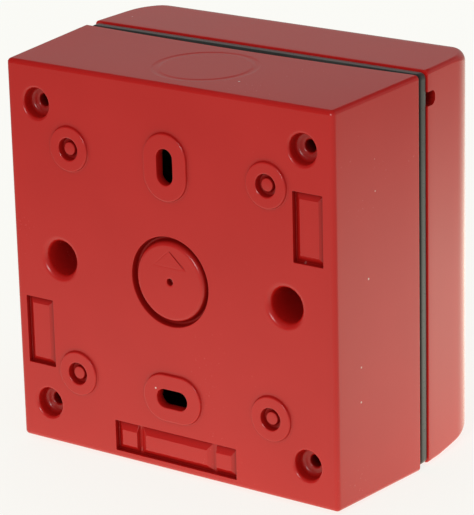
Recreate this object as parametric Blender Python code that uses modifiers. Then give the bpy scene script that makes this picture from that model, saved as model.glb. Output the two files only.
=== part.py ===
"""Surface-mounted manual call point: back box, sealed front cover and resettable mechanism.

Frame: +Z up, +X to the right as seen from the front. The back panel lies in the plane
Y = 0 and the device stands out along -Y. A depth is a distance in front of that plane,
so Y = -depth. Dimensions are in millimetres and MM turns them into metres.
"""
import math

import bmesh
import bpy
from mathutils import Matrix, Vector

MM = 0.001

# ---------------------------------------------------------------- shared dimensions
# Mirrored features are named by the first letter of their side and end.
SIDES = (("left", -1), ("right", 1))
ENDS = (("bottom", -1), ("top", 1))

# Back box
BOX_BACK_W, BOX_BACK_H = 85.9, 88.8  # outline at the back panel
BOX_RIM_W, BOX_RIM_H = 89.4, 90.35   # outline at the open rim
BOX_DEPTH = 30.3
WALL = 2.5
PANEL = 3.0
PAD_RISE = 0.66                      # wall pads stand proud of the panel
PAD_POS = 26.15                      # round wall pads, from the centre lines
BOSS_DEPTH = (PANEL - 1.0, 28.3)
FIX_X = 60.3 / 2                     # side bosses, at half the module's fixing pitch
CORNER = 35.15                       # case screws, from the centre lines

# Seal and cover
SEAL_BACK, SEAL_FRONT = 30.4, 34.05
SEAL_INSET = 0.6
COVER_BACK, COVER_END = 34.15, 59.5
COVER_WALL = 2.5
COVER_FRONT = 2.8                    # thickness of the cover's face
SIDE_ROLL, TOP_ROLL, BASE_ROLL = 12.3, 6.6, 7.6
SIDE_DRAFT, BASE_DRAFT = math.radians(1.85), math.radians(5.9)
BASE_DRAFT_START = 39.0
TILT_LINE = (0.0, COVER_BACK, 45.45)  # x, depth, z on the line the cover tilts about
WINDOW = 43.0                        # square opening in the cover
WINDOW_Z = 2.0
HOOK_X, HOOK_W = 21.0, 7.0           # hooks at the top of the cover

# Base plate, board and mechanism
PLATE_DEPTH = (28.6, 31.0)
PLATE_CUT = (28.0, 32.0)
SEAT = 31.3                          # frame back and screw heads, just off the plate
CORE_OPENING = {"x": (-15.0, 15.0), "z": (-13.0, 18.0)}
WIRE_OPENING = {"x": (-12.0, 12.0), "z": (-36.0, -29.5)}
BOARD_DEPTH = (22.0, 23.6)
BOARD_SEAT = 21.7                    # parts standing on the wall side of the board
POST_X, POST_Z = 18.0, 28.0          # board fixings
LED_X, LED_Z = 29.5, 20.0
TERMINALS = (-15.0, -5.0, 5.0, 15.0)
TERMINAL_Z = -16.5
KEY_Z = -29.5
LATCH_DEPTH = (45.5, 48.0)           # shared by the key cam
SWITCH_DEPTH = 40.6                  # centre of the switch, its plunger and its lever
EYE_X, EYE_Z = 4.75, -23.6           # switch fixings
PLUNGER_X = -5.5
LEVER_X, LEVER_Z = -9.0, -13.9
LEVER_SWING = math.radians(16.0)
CARRIER_DEPTH = (49.6, 52.4)
CARRIAGE_TOP = 32.8

# ---------------------------------------------------------------- finishes
RED = dict(colour=(0.45, 0.03, 0.025), roughness=0.35)
BLACK = dict(colour=(0.03, 0.03, 0.032), roughness=0.5)
WHITE = dict(colour=(0.8, 0.8, 0.77), roughness=0.4)
RUBBER = dict(colour=(0.03, 0.035, 0.033), roughness=0.75)
STEEL = dict(colour=(0.6, 0.6, 0.6), roughness=0.3, metallic=1.0)
SPRING_STEEL = dict(colour=(0.5, 0.5, 0.52), roughness=0.28, metallic=1.0)
BRASS = dict(colour=(0.7, 0.5, 0.2), roughness=0.3, metallic=1.0)
BOARD_GREEN = dict(colour=(0.03, 0.22, 0.09), roughness=0.45)
TERMINAL_GREEN = dict(colour=(0.03, 0.16, 0.09), roughness=0.4)
YELLOW = dict(colour=(0.85, 0.6, 0.02), roughness=0.4)
LENS_RED = dict(colour=(0.75, 0.05, 0.04), roughness=0.1)
LED_RED = dict(colour=(0.7, 0.04, 0.03), roughness=0.15)
PLUNGER_RED = dict(colour=(0.6, 0.05, 0.04), roughness=0.4)
CLEAR = dict(colour=(0.8, 0.82, 0.82), roughness=0.05)
CAPACITOR_BLUE = dict(colour=(0.05, 0.06, 0.12), roughness=0.3)
RESISTOR_TAN = dict(colour=(0.55, 0.44, 0.3), roughness=0.4)
RESISTOR_BLUE = dict(colour=(0.25, 0.35, 0.5), roughness=0.4)
CAM_GREY = dict(colour=(0.5, 0.5, 0.48), roughness=0.4)
WIRE_RED = dict(colour=(0.5, 0.02, 0.02), roughness=0.45)
WIRE_BLACK = dict(colour=(0.02, 0.02, 0.02), roughness=0.45)

# ---------------------------------------------------------------- scene set-up
for old in list(bpy.data.objects):
    bpy.data.objects.remove(old, do_unlink=True)

PARTS = bpy.data.collections.new("manual_call_point")
CUTTERS = bpy.data.collections.new("cutters")
bpy.context.scene.collection.children.link(PARTS)
bpy.context.scene.collection.children.link(CUTTERS)


# ---------------------------------------------------------------- basic shapes
def span(half, middle=0.0):
    """The (low, high) pair reaching `half` either way from the middle."""
    return middle - half, middle + half


def on_side(across, inner, outer):
    """The (low, high) pair between two distances from the centre, on the side `across`."""
    return tuple(sorted((across * inner, across * outer)))


def add_object(name, data):
    obj = bpy.data.objects.new(name, data)
    PARTS.objects.link(obj)
    return obj


def add_mesh(name, bm):
    mesh = bpy.data.meshes.new(name)
    bm.to_mesh(mesh)
    bm.free()
    return add_object(name, mesh)


def add_solid(name, bm):
    bmesh.ops.recalc_face_normals(bm, faces=bm.faces)
    return add_mesh(name, bm)


def block(name, x, depth, z, edge=0.0, along=None, segments=2):
    """A box from (low, high) pairs. `edge` rounds the edges parallel to `along`, or all."""
    low = Vector((x[0], -depth[1], z[0])) * MM
    high = Vector((x[1], -depth[0], z[1])) * MM
    bm = bmesh.new()
    bmesh.ops.create_cube(
        bm, size=1.0,
        matrix=Matrix.Translation((low + high) / 2) @ Matrix.Diagonal((*(high - low), 1.0)))
    if edge:
        chosen = []
        for line in bm.edges:
            run = (line.verts[0].co - line.verts[1].co).normalized()
            if along is None or abs(run["XYZ".index(along)]) > 0.99:
                chosen.append(line)
        bmesh.ops.bevel(bm, geom=chosen, offset=edge * MM, segments=segments,
                        profile=0.5, affect="EDGES", clamp_overlap=True)
    return add_solid(name, bm)


def rod(name, x, z, radius, depth, sides=24):
    """A cylinder along Y over a (low, high) pair of depths."""
    back, front = depth
    bm = bmesh.new()
    bmesh.ops.create_cone(
        bm, cap_ends=True, cap_tris=False, segments=sides,
        radius1=radius * MM, radius2=radius * MM, depth=(front - back) * MM,
        matrix=Matrix.Translation(Vector((x, -(back + front) / 2, z)) * MM)
        @ Matrix.Rotation(math.radians(90), 4, "X"))
    return add_solid(name, bm)


def turned(name, x, z, profile, sides=24, closed=False):
    """A shape turned about a line along Y.

    The profile has (radius, depth) points, from the front down the outer side.
    """
    bm = bmesh.new()
    verts = [bm.verts.new((radius * MM, 0.0, depth * MM)) for radius, depth in profile]
    for start, end in zip(verts, verts[1:] + ([verts[0]] if closed else [])):
        bm.edges.new((start, end))
    obj = add_mesh(name, bm)
    obj.location = (x * MM, 0.0, z * MM)
    obj.rotation_euler = (math.radians(90), 0.0, 0.0)
    screw = obj.modifiers.new("turn", "SCREW")
    screw.axis = "Z"
    screw.steps = sides
    screw.render_steps = sides
    screw.use_merge_vertices = True
    screw.merge_threshold = 0.00001
    screw.use_normal_calculate = False
    return obj


def rounded_rect(half_width, top, bottom, radius, per_corner=3):
    """(x, z) points of a rounded rectangle, counter-clockwise seen from the front."""
    points = []
    for x, z, start in (
        (half_width - radius, top - radius, 0.0),
        (-half_width + radius, top - radius, 90.0),
        (-half_width + radius, bottom + radius, 180.0),
        (half_width - radius, bottom + radius, 270.0),
    ):
        for i in range(per_corner + 1):
            angle = math.radians(start + 90.0 * i / per_corner)
            points.append((x + radius * math.cos(angle), z + radius * math.sin(angle)))
    return points


def loft(name, sections):
    """A closed solid through (depth, points) sections that have equally many points."""
    bm = bmesh.new()
    rings = [[bm.verts.new((x * MM, -depth * MM, z * MM)) for x, z in points]
             for depth, points in sections]
    for back, front in zip(rings, rings[1:]):
        for i in range(len(back)):
            j = (i + 1) % len(back)
            bm.faces.new((back[i], back[j], front[j], front[i]))
    bm.faces.new(rings[0])
    bm.faces.new(rings[-1])
    return add_solid(name, bm)


def pipe(name, points, radius, resolution=1, cyclic=False):
    """A wire through (x, depth, z) points, as a poly curve with filled caps."""
    curve = bpy.data.curves.new(name, "CURVE")
    curve.dimensions = "3D"
    spline = curve.splines.new("POLY")
    spline.points.add(len(points) - 1)
    for point, (x, depth, z) in zip(spline.points, points):
        point.co = (x * MM, -depth * MM, z * MM, 1.0)
    spline.use_cyclic_u = cyclic
    curve.bevel_depth = radius * MM
    curve.bevel_resolution = resolution
    curve.use_fill_caps = True
    return add_object(name, curve)


def coil(name, x, depth, z, radius, wire, turns, per_turn=10):
    """A compression spring along Z, with its turns closer together at the ends."""
    points = []
    steps = int(turns * per_turn)
    for i in range(steps + 1):
        t = i / steps
        eased = t * t * (3 - 2 * t) * 0.35 + t * 0.65
        angle = 2 * math.pi * turns * t
        points.append((x + radius * math.cos(angle), depth + radius * math.sin(angle),
                       z[0] + (z[1] - z[0]) * eased))
    return pipe(name, points, wire)


# ---------------------------------------------------------------- operations
def baked(obj):
    """The object remade with its modifiers and transform in the mesh."""
    bpy.context.view_layer.update()
    graph = bpy.context.evaluated_depsgraph_get()
    mesh = bpy.data.meshes.new_from_object(obj.evaluated_get(graph))
    mesh.transform(obj.matrix_world)
    name = obj.name
    bpy.data.objects.remove(obj, do_unlink=True)
    return add_object(name, mesh)


def solid_wire(curve):
    """A pipe remade as a mesh with its caps welded on."""
    obj = baked(curve)
    bm = bmesh.new()
    bm.from_mesh(obj.data)
    bmesh.ops.remove_doubles(bm, verts=bm.verts, dist=0.000005)
    bmesh.ops.recalc_face_normals(bm, faces=bm.faces)
    bm.to_mesh(obj.data)
    bm.free()
    return obj


def combine(obj, operation, helpers):
    """Adds boolean modifiers and hides the helpers away among the cutters."""
    for helper in helpers:
        PARTS.objects.unlink(helper)
        CUTTERS.objects.link(helper)
        helper.hide_render = True
        helper.display_type = "WIRE"
        mod = obj.modifiers.new(operation.lower(), "BOOLEAN")
        mod.operation = operation
        mod.solver = "EXACT"
        mod.object = helper


def cut(obj, *helpers):
    combine(obj, "DIFFERENCE", helpers)


def join(obj, *helpers):
    combine(obj, "UNION", helpers)


def pivot(obj, x, depth, z):
    """Puts the object's origin on its joint's line without moving its surface."""
    origin = Vector((x, -depth, z)) * MM
    obj.data.transform(Matrix.Translation(-origin))
    obj.location = origin
    return obj


def smooth(obj):
    obj.data.shade_smooth()
    obj.data.set_sharp_from_angle(angle=math.radians(35.0))
    return obj


def paint(obj, colour, roughness, metallic=0.0):
    """Gives the object a material of its own."""
    mat = bpy.data.materials.new(obj.name + "_finish")
    mat.use_nodes = True
    shader = mat.node_tree.nodes["Principled BSDF"]
    shader.inputs["Base Color"].default_value = (*colour, 1.0)
    shader.inputs["Roughness"].default_value = roughness
    shader.inputs["Metallic"].default_value = metallic
    mat.diffuse_color = (*colour, 1.0)
    obj.data.materials.clear()
    obj.data.materials.append(mat)


# ---------------------------------------------------------------- back box
# Profiles: (radius, depth)
COUNTERBORE = [(0.0, 30.0), (1.6, 30.0), (1.6, 12.0), (1.3, 11.5), (1.3, 3.1), (2.8, 3.1),
               (3.3, 2.5), (3.4, 0.6), (4.0, 0.0), (4.0, -1.0), (0.0, -1.0)]
PAD_GROOVE = [(0.0, 0.0), (1.5, 0.0), (1.5, 1.0), (2.5, 1.0), (2.5, -2.0), (0.0, -2.0)]
SIDE_CORE = [(0.0, 14.0), (3.85, 14.0), (3.98, 1.4), (4.25, 0.55), (4.75, 0.12),
             (5.35, 0.0), (5.35, -1.0), (0.0, -1.0)]
KNOCK_INNER, KNOCK_OUTER, KNOCK_DEPTH = 8.6, 10.3, 2.0  # 20 mm rear cable entry
KNOCK_GROOVE = [(KNOCK_OUTER, KNOCK_DEPTH), (KNOCK_OUTER, -1.0),
                (KNOCK_INNER, -1.0), (KNOCK_INNER, KNOCK_DEPTH)]

# Fixing slots: name, centre z, width, height, back depth, corner radius
SLOT_CUTS = (
    ("top_slot_recess", 26.1, 9.0, 12.6, 1.7, 4.3),
    ("bottom_slot_recess", -27.1, 13.0, 8.8, 1.7, 4.2),
    ("top_slot", 26.1, 4.15, 8.05, -2.0, 2.02),
    ("bottom_slot", -27.1, 8.15, 4.25, -2.0, 2.08),
)

# Break-outs: name, x, z, groove depth, depth of the inner blocks' faces, inner blocks.
# Block: x, z, then how far it spreads left, right, down and up at the groove's depth.
MOATS = (
    ("side_moat_a", (-40.0, -32.5), (10.2, 25.9), 1.3, 0.6,
     [((-38.6, -33.9), (11.9, 24.2), (1.3, 1.3, 1.6, 1.6))]),
    ("side_moat_b", (32.85, 40.4), (-26.15, -10.25), 1.2, 0.35,
     [((34.4, 38.85), (-24.55, -11.85), (1.4, 1.4, 1.5, 1.5))]),
    ("bottom_moat", (-16.45, 16.45), (-42.6, -35.4), 1.3, 0.4,
     [((-14.75, -10.85), (-41.0, -37.6), (1.5, 0.3, 1.4, 2.0)),
      ((-8.2, 8.2), (-41.0, -37.6), (1.7, 1.7, 1.4, 2.0)),
      ((10.85, 14.75), (-41.0, -37.6), (0.3, 1.5, 1.4, 2.0))]),
)


def box_ring(depth, inset, radius):
    t = depth / BOX_DEPTH
    half_width = (BOX_BACK_W + (BOX_RIM_W - BOX_BACK_W) * t) / 2 - inset
    half_height = (BOX_BACK_H + (BOX_RIM_H - BOX_BACK_H) * t) / 2 - inset
    return depth, rounded_rect(half_width, half_height, -half_height, radius)


def grown_corners(x, z, grow=(0.0, 0.0, 0.0, 0.0)):
    """Corners of a rectangle, grown on its left, right, low and high sides."""
    left, right, low, high = grow
    return [(x[1] + right, z[1] + high), (x[0] - left, z[1] + high),
            (x[0] - left, z[0] - low), (x[1] + right, z[0] - low)]


def moat(name, x, z, floor, sunk, cores):
    """Cutter for an outline groove around inner blocks with sloping sides."""
    cutter = block(name, x, (-1.0, floor), z)
    past_floor = floor + 0.5
    grade = (past_floor - sunk) / (floor - sunk)
    for i, (core_x, core_z, spread) in enumerate(cores):
        grown = grown_corners(core_x, core_z, [side * grade for side in spread])
        cut(cutter, loft(f"{name}_core_{i}", [
            (past_floor, grown), (sunk, grown_corners(core_x, core_z))]))
    return baked(cutter)


def build_back_box():
    box = loft("back_box", [box_ring(0.0, 1.0, 0.3), box_ring(0.3, 0.3, 0.7),
                            box_ring(1.0, 0.0, 1.0), box_ring(BOX_DEPTH, 0.0, 1.0)])
    cut(box, loft("box_cavity", [box_ring(PANEL, WALL, 1.0),
                                 box_ring(BOX_DEPTH + 2.0, WALL, 1.0)]))
    pad_depth = (-PAD_RISE, 1.0)
    for side, across in SIDES:
        for end, up in ENDS:
            tag = side[0] + end[0]
            join(box,
                 rod(f"corner_boss_{tag}", across * CORNER, up * CORNER, 5.3, BOSS_DEPTH, 20),
                 rod(f"wall_pad_{tag}", across * PAD_POS, up * PAD_POS, 5.15, pad_depth))
        join(box, rod(f"side_boss_{side[0]}", across * FIX_X, 0.0, 6.2, BOSS_DEPTH))
    join(box,
         block("top_slot_pad", span(5.65), pad_depth, (18.4, 33.6), 5.6, "Y", 5),
         block("bottom_slot_pad", span(7.7), pad_depth, (-32.5, -21.5), 5.45, "Y", 5))
    for side, across in SIDES:
        for end, up in ENDS:
            tag = side[0] + end[0]
            cut(box,
                turned(f"counterbore_{tag}", across * CORNER, up * CORNER, COUNTERBORE, 20),
                turned(f"pad_groove_{tag}", across * PAD_POS, up * PAD_POS, PAD_GROOVE, 16))
        cut(box,
            turned(f"side_core_{side[0]}", across * FIX_X, 0.0, SIDE_CORE),
            rod(f"module_pilot_{side[0]}", across * FIX_X, 0.0, 1.8, (17.0, 30.0), 12))
    cut(box, turned("knock_groove", 0.0, 0.0, KNOCK_GROOVE, 36, closed=True))
    for name, z, width, height, back, radius in SLOT_CUTS:
        cut(box, block(name, span(width / 2), (back, PANEL + 2), span(height / 2, z),
                       radius, "Y", 4))
    for row in MOATS:
        cut(box, moat(*row))
    paint(smooth(box), **RED)


# ---------------------------------------------------------------- seal and front cover
COVER_STATIONS = (COVER_BACK, 39.0, 47.2, 49.4, 51.6, 53.5, 55.2, 56.7, 57.9, 58.8, 59.3,
                  COVER_END)
CAVITY_STATIONS = (33.0, 39.0, 47.0, 50.0, 52.5, 54.4, 55.8, 56.4, 56.7)


def build_box_gasket():
    """The seal between box and cover, with a narrower lip at its back."""
    half_width = BOX_RIM_W / 2 - SEAL_INSET
    half_height = BOX_RIM_H / 2 - SEAL_INSET
    lip, band = 0.9, 3.1
    lip_ring = rounded_rect(half_width - lip, half_height - lip, -half_height + lip, 0.7)
    full_ring = rounded_rect(half_width, half_height, -half_height, 1.3)
    gasket = loft("box_gasket", [
        (SEAL_BACK, lip_ring), (SEAL_BACK + 1.3, lip_ring),
        (SEAL_BACK + 1.6, full_ring), (SEAL_FRONT, full_ring)])
    cut(gasket, block("gasket_opening", span(half_width - band),
                      (SEAL_BACK - 1, SEAL_FRONT + 1), span(half_height - band), 1.0, "Y"))
    paint(smooth(gasket), **RUBBER)


def cover_section(depth, inset):
    """Half width, top and bottom of the cover, or of its cavity when there is an inset.

    The sides draft all the way and roll over with the largest radius, the top is
    straight, and the bottom drafts from BASE_DRAFT_START on.
    """
    end = COVER_END - (COVER_FRONT if inset else 0.0)

    def roll(radius):
        radius = max(radius - inset, 2.0)
        into = depth - (end - radius)
        return radius - math.sqrt(max(radius * radius - into * into, 0.0)) if into > 0 else 0.0

    half_width = 44.5 - (depth - COVER_BACK) * math.tan(SIDE_DRAFT) - roll(SIDE_ROLL)
    top = 45.3 - roll(TOP_ROLL)
    rise = max(depth - BASE_DRAFT_START, 0.0) * math.tan(BASE_DRAFT)
    bottom = -44.65 + rise + roll(BASE_ROLL)
    return half_width - inset, top - inset, bottom + inset


def cover_loft(name, inset, stations):
    sections = []
    for depth in stations:
        # Corners widen towards the front.
        radius = 0.9 + 4.2 * max((depth - 44.0) / 15.5, 0.0) ** 2 + inset * 0.3
        sections.append((depth, rounded_rect(*cover_section(depth, inset), radius, 4)))
    return loft(name, sections)


def window_ring(flare, radius):
    half = WINDOW / 2
    return rounded_rect(half + flare, WINDOW_Z + half + flare, WINDOW_Z - half - flare, radius)


def build_front_cover():
    cover = cover_loft("front_cover", 0.0, COVER_STATIONS)
    cut(cover,
        cover_loft("cover_cavity", COVER_WALL, CAVITY_STATIONS),
        loft("window_cut", [(55.0, window_ring(0.0, 1.5)), (57.6, window_ring(0.0, 1.5)),
                            (60.5, window_ring(2.6, 3.0))]),
        turned("key_port", 0.0, KEY_Z, [(0.0, 61.0), (7.2, 61.0), (7.0, 58.9), (4.6, 58.7),
                                        (4.6, 55.0), (0.0, 55.0)]),
        rod("indicator_port", LED_X, LED_Z, 1.9, (55.0, 61.0), 16))
    for side, across in SIDES:
        cut(cover, block(f"flap_notch_{side[0]}", on_side(across, 40.5, 46.0),
                         (33.0, 37.3), (37.35, 40.55), 1.4, "X", 3))
    for side, across in SIDES:
        hook_x = span(HOOK_W / 2, across * HOOK_X)
        join(cover,
             block(f"hook_root_{side[0]}", hook_x, (34.6, 38.6), (39.3, 43.2)),
             block(f"hook_arm_{side[0]}", hook_x, (29.6, 36.5), (38.9, 40.4)))
    paint(smooth(pivot(cover, *TILT_LINE)), **RED)


def build_indicator_lens():
    lens = baked(turned("indicator_lens", LED_X, LED_Z, [
        (0.0, 59.45), (0.9, 59.35), (1.55, 58.9), (1.55, 57.0), (0.0, 57.0)], 16))
    paint(smooth(pivot(lens, *TILT_LINE)), **LENS_RED)


# ---------------------------------------------------------------- base plate and frame
def build_base_plate():
    plate = block("base_plate", span(39.5), PLATE_DEPTH, (-40.0, 39.9), 3.0, "Y")
    for side, across in SIDES:
        cut(plate, block(f"hook_gap_{side[0]}", span(HOOK_W / 2 + 1.5, across * HOOK_X),
                         PLATE_CUT, (36.9, 42.0)))
    cut(plate,
        block("core_window", depth=PLATE_CUT, edge=2.0, along="Y", **CORE_OPENING),
        block("wire_window", depth=PLATE_CUT, edge=1.5, along="Y", **WIRE_OPENING),
        rod("pipe_hole", LED_X, LED_Z, 2.0, PLATE_CUT, 12))
    for _, across in SIDES:
        for _, up in ENDS:
            cut(plate, rod(f"case_hole_{across}_{up}", across * CORNER, up * CORNER, 1.9,
                           PLATE_CUT, 12))
        cut(plate, rod(f"module_hole_{across}", across * FIX_X, 0.0, 2.1, PLATE_CUT, 12))
        post_x = across * POST_X
        join(plate, rod(f"board_post_{across}", post_x, POST_Z, 3.0, (23.9, 29.0), 12))
        cut(plate, rod(f"board_pilot_{across}", post_x, POST_Z, 1.2, (22.0, 29.6), 10))
    paint(smooth(plate), **BLACK)


def build_mechanism_frame():
    """An open tray on the base plate, with bridges for the key, springs and switch."""
    frame = block("mechanism_frame", span(27.0), (SEAT, 50.5), (-39.0, 36.2), 1.5, "Y")
    floor_cut = (30.0, 34.0)
    cut(frame,
        block("frame_core", span(24.5), (33.0, 52.0), (-37.0, 33.8)),
        block("frame_floor_window", depth=floor_cut, **CORE_OPENING),
        block("frame_wire_window", depth=floor_cut, **WIRE_OPENING),
        block("latch_gate", span(4.6), (45.0, 48.5), (-40.0, -36.0)))
    for side, across in SIDES:
        cut(frame, block(f"screw_gate_{side[0]}", on_side(across, 26.0, 28.0),
                         (30.0, 34.5), span(4.2)))
    join(frame,
         block("key_bridge", span(25.5), (48.6, 50.5), (-38.0, -22.3)),
         block("spring_stop", span(25.5), (45.0, 47.9), (-17.6, -15.8)),
         block("switch_seat", span(11.0), (32.0, 37.1), (-26.5, -16.2)),
         rod("key_boss", 0.0, KEY_Z, 6.0, (49.5, 55.2)))
    cut(frame,
        rod("key_bore", 0.0, KEY_Z, 4.75, (48.0, 57.0)),
        rod("switch_pilot_a", -EYE_X, EYE_Z, 0.8, (33.5, 38.0), 8),
        rod("switch_pilot_b", EYE_X, EYE_Z, 0.8, (33.5, 38.0), 8))
    paint(smooth(frame), **WHITE)


# ---------------------------------------------------------------- screws
CASE_SCREW = dict(head_r=2.9, head_h=1.9, shank_r=1.3, length=17.0)
MODULE_SCREW = dict(head_r=3.0, head_h=2.0, shank_r=1.5, length=12.5)
BOARD_SCREW = dict(head_r=2.3, head_h=1.5, shank_r=0.9, length=6.6)
TERMINAL_SCREW = dict(head_r=2.2, head_h=1.3, shank_r=1.1, length=1.2, finish=BRASS)
SWITCH_SCREW = dict(head_r=1.9, head_h=0.9, shank_r=0.65, length=8.5)


def pan_screw(name, x, z, seat, toward, head_r, head_h, shank_r, length, finish=STEEL):
    """A slotted pan-head screw.

    `seat` is the depth of the head's seat, and the head stands off it in the direction
    `toward` (+1 to the front, -1 to the wall).
    """
    top, tip = seat + toward * head_h, seat - toward * length
    profile = [(0.0, top), (head_r * 0.72, top), (head_r, top - toward * head_h * 0.42),
               (head_r, seat), (shank_r, seat), (shank_r, tip + toward * shank_r),
               (shank_r * 0.35, tip), (0.0, tip)]
    if toward < 0:
        profile.reverse()
    screw = turned(name, x, z, profile, 14)
    slot_depth = sorted((top - toward * head_h * 0.45, top + toward * 1.0))
    cut(screw, block(name + "_slot", span(head_r * 1.2, x), slot_depth,
                     span(head_r * 0.13, z)))
    paint(smooth(screw), **finish)


def build_screws():
    case_corners = ((-1, 1), (1, 1), (-1, -1), (1, -1))
    for number, (across, up) in enumerate(case_corners, 1):
        pan_screw(f"case_screw_{number}", across * CORNER, up * CORNER, SEAT, 1, **CASE_SCREW)
    for side, across in SIDES:
        pan_screw(f"module_screw_{side}", across * FIX_X, 0.0, SEAT, 1, **MODULE_SCREW)
        pan_screw(f"board_screw_{side}", across * POST_X, POST_Z, BOARD_SEAT, -1,
                  **BOARD_SCREW)
        pan_screw(f"switch_screw_{side}", across * EYE_X, EYE_Z, 44.1, 1, **SWITCH_SCREW)
    for number, x in enumerate(TERMINALS, 1):
        pan_screw(f"terminal_screw_{number}", x, TERMINAL_Z, 14.6, -1, **TERMINAL_SCREW)


# ---------------------------------------------------------------- circuit board and parts
RESISTOR_DEPTH = 19.3
# Resistor leads: (x, depth)
LEAD_PATH = ((-6.5, 21.4), (-6.5, 19.9), (-5.9, RESISTOR_DEPTH),
             (5.9, RESISTOR_DEPTH), (6.5, 19.9), (6.5, 21.4))
# Resistor body: (radius, distance along its axis)
RESISTOR_PROFILE = [(0.0, 3.3), (0.9, 3.3), (1.3, 2.9), (1.3, 2.0), (1.05, 1.6),
                    (1.05, -1.6), (1.3, -2.0), (1.3, -2.9), (0.9, -3.3), (0.0, -3.3)]


def build_circuit_board():
    board = block("circuit_board", span(22.5), BOARD_DEPTH, (-36.0, 34.0), 1.0, "Y")
    join(board, block("board_ear", (20.0, 33.0), BOARD_DEPTH, (12.0, 27.0)))
    for side, across in SIDES:
        cut(board, rod(f"board_hole_{side[0]}", across * POST_X, POST_Z, 1.5,
                       (21.0, 24.5), 10))
    paint(board, **BOARD_GREEN)


def build_terminal_block():
    terminals = block("terminal_block", span(20.0), (11.0, BOARD_SEAT), (-22.0, -11.0), 0.6,
                      segments=1)
    for number, x in enumerate(TERMINALS, 1):
        cut(terminals,
            rod(f"terminal_well_{number}", x, TERMINAL_Z, 2.7, (9.0, 16.2), 12),
            block(f"terminal_mouth_{number}", span(2.6, x), (16.9, 20.7), (-23.0, -17.5)))
    paint(terminals, **TERMINAL_GREEN)


def build_resistor(number, z, finish):
    """A resistor lying along X, with its leads bent back to the board."""
    lead = solid_wire(pipe(f"resistor_{number}", [(x, depth, z) for x, depth in LEAD_PATH],
                           0.32))
    body = turned(f"resistor_body_{number}", 0.0, z, RESISTOR_PROFILE, 12)
    body.rotation_euler = (0.0, math.radians(90), 0.0)
    body.location = (0.0, -RESISTOR_DEPTH * MM, z * MM)
    join(lead, baked(body))
    paint(smooth(lead), **finish)


def build_turned_parts():
    """The capacitor, the LED and the light pipe from the LED to the cover."""
    capacitor = turned("surge_capacitor", 13.0, 8.0, [
        (0.0, 21.6), (3.2, 21.6), (3.2, 12.6), (2.9, 12.2), (0.0, 12.2)], 20)
    paint(smooth(capacitor), **CAPACITOR_BLUE)
    led = turned("status_led", LED_X, LED_Z, [
        (0.0, 28.3), (0.8, 28.1), (1.35, 27.2), (1.45, 26.2), (1.45, 24.7), (1.75, 24.7),
        (1.75, 24.0), (0.0, 24.0)], 16)
    paint(smooth(led), **LED_RED)
    light_pipe = turned("light_pipe", LED_X, LED_Z, [
        (0.0, 56.2), (1.1, 56.1), (1.4, 55.6), (1.4, 34.0), (2.25, 33.8), (2.25, 31.5),
        (1.4, 31.4), (1.4, 28.9), (0.0, 28.9)], 16)
    paint(smooth(light_pipe), **CLEAR)


# ---------------------------------------------------------------- switch
# Wire path: (share of the wire's x at the switch, depth, z)
WIRE_PATH = ((1.0, SWITCH_DEPTH, -26.5), (1.0, SWITCH_DEPTH, -29.0), (1.05, 40.0, -31.2),
             (1.1, 38.0, -32.6), (1.2, 34.0, -33.0), (1.3, 27.0, -33.0), (1.3, 24.1, -33.0))


def build_switch_body():
    body = block("switch_body", span(10.0), span(3.2, SWITCH_DEPTH), (-26.0, -16.0), 0.4,
                 segments=1)
    cut(body,
        rod("switch_eye_a", -EYE_X, EYE_Z, 1.1, (36.0, 45.0), 10),
        rod("switch_eye_b", EYE_X, EYE_Z, 1.1, (36.0, 45.0), 10),
        block("plunger_well", span(1.4, PLUNGER_X), span(1.1, SWITCH_DEPTH),
              (-19.0, -15.0)))
    paint(body, **BLACK)


def build_switch_plunger():
    plunger = block("switch_plunger", span(0.9, PLUNGER_X), span(0.8, SWITCH_DEPTH),
                    (-17.6, -13.55), 0.3, segments=1)
    paint(pivot(plunger, PLUNGER_X, SWITCH_DEPTH, -15.0), **PLUNGER_RED)


def build_switch_lever():
    """A hinge pin with a flat arm swung up from it."""
    back, front = span(2.2, SWITCH_DEPTH)
    lever = solid_wire(pipe("switch_lever", [(LEVER_X, back, LEVER_Z),
                                             (LEVER_X, front, LEVER_Z)], 0.55, 2))
    arm = block("lever_arm", (LEVER_X, LEVER_X + 18.0), span(1.7, SWITCH_DEPTH),
                span(0.22, LEVER_Z))
    hinge = Vector((LEVER_X, 0.0, LEVER_Z)) * MM
    arm.data.transform(Matrix.Translation(hinge) @ Matrix.Rotation(-LEVER_SWING, 4, "Y")
                       @ Matrix.Translation(-hinge))
    join(lever, arm)
    paint(smooth(pivot(lever, LEVER_X, SWITCH_DEPTH, LEVER_Z)), **STEEL)


def build_switch_wire(name, x, finish):
    path = [(x * share, depth, z) for share, depth, z in WIRE_PATH]
    paint(pipe(name, path, 0.65), **finish)


# ---------------------------------------------------------------- operating element
def build_operating_element():
    element = block("operating_element", span(23.4), (52.7, 54.9), (-21.4, 25.5), 1.2, "Y", 3)
    paint(element, **WHITE)


def build_element_carrier():
    carrier = block("element_carrier", span(19.0), CARRIER_DEPTH, (-14.9, 22.0), 1.0, "Y")
    cut(carrier, block("carrier_window", span(12.0), (48.0, 54.0), (-8.0, 15.0), 2.0, "Y"))
    for side, across in SIDES:
        join(carrier, block(f"carrier_tongue_{side[0]}", on_side(across, 18.0, 24.0),
                            CARRIER_DEPTH, span(6.0)))
    paint(carrier, **BLACK)


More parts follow.
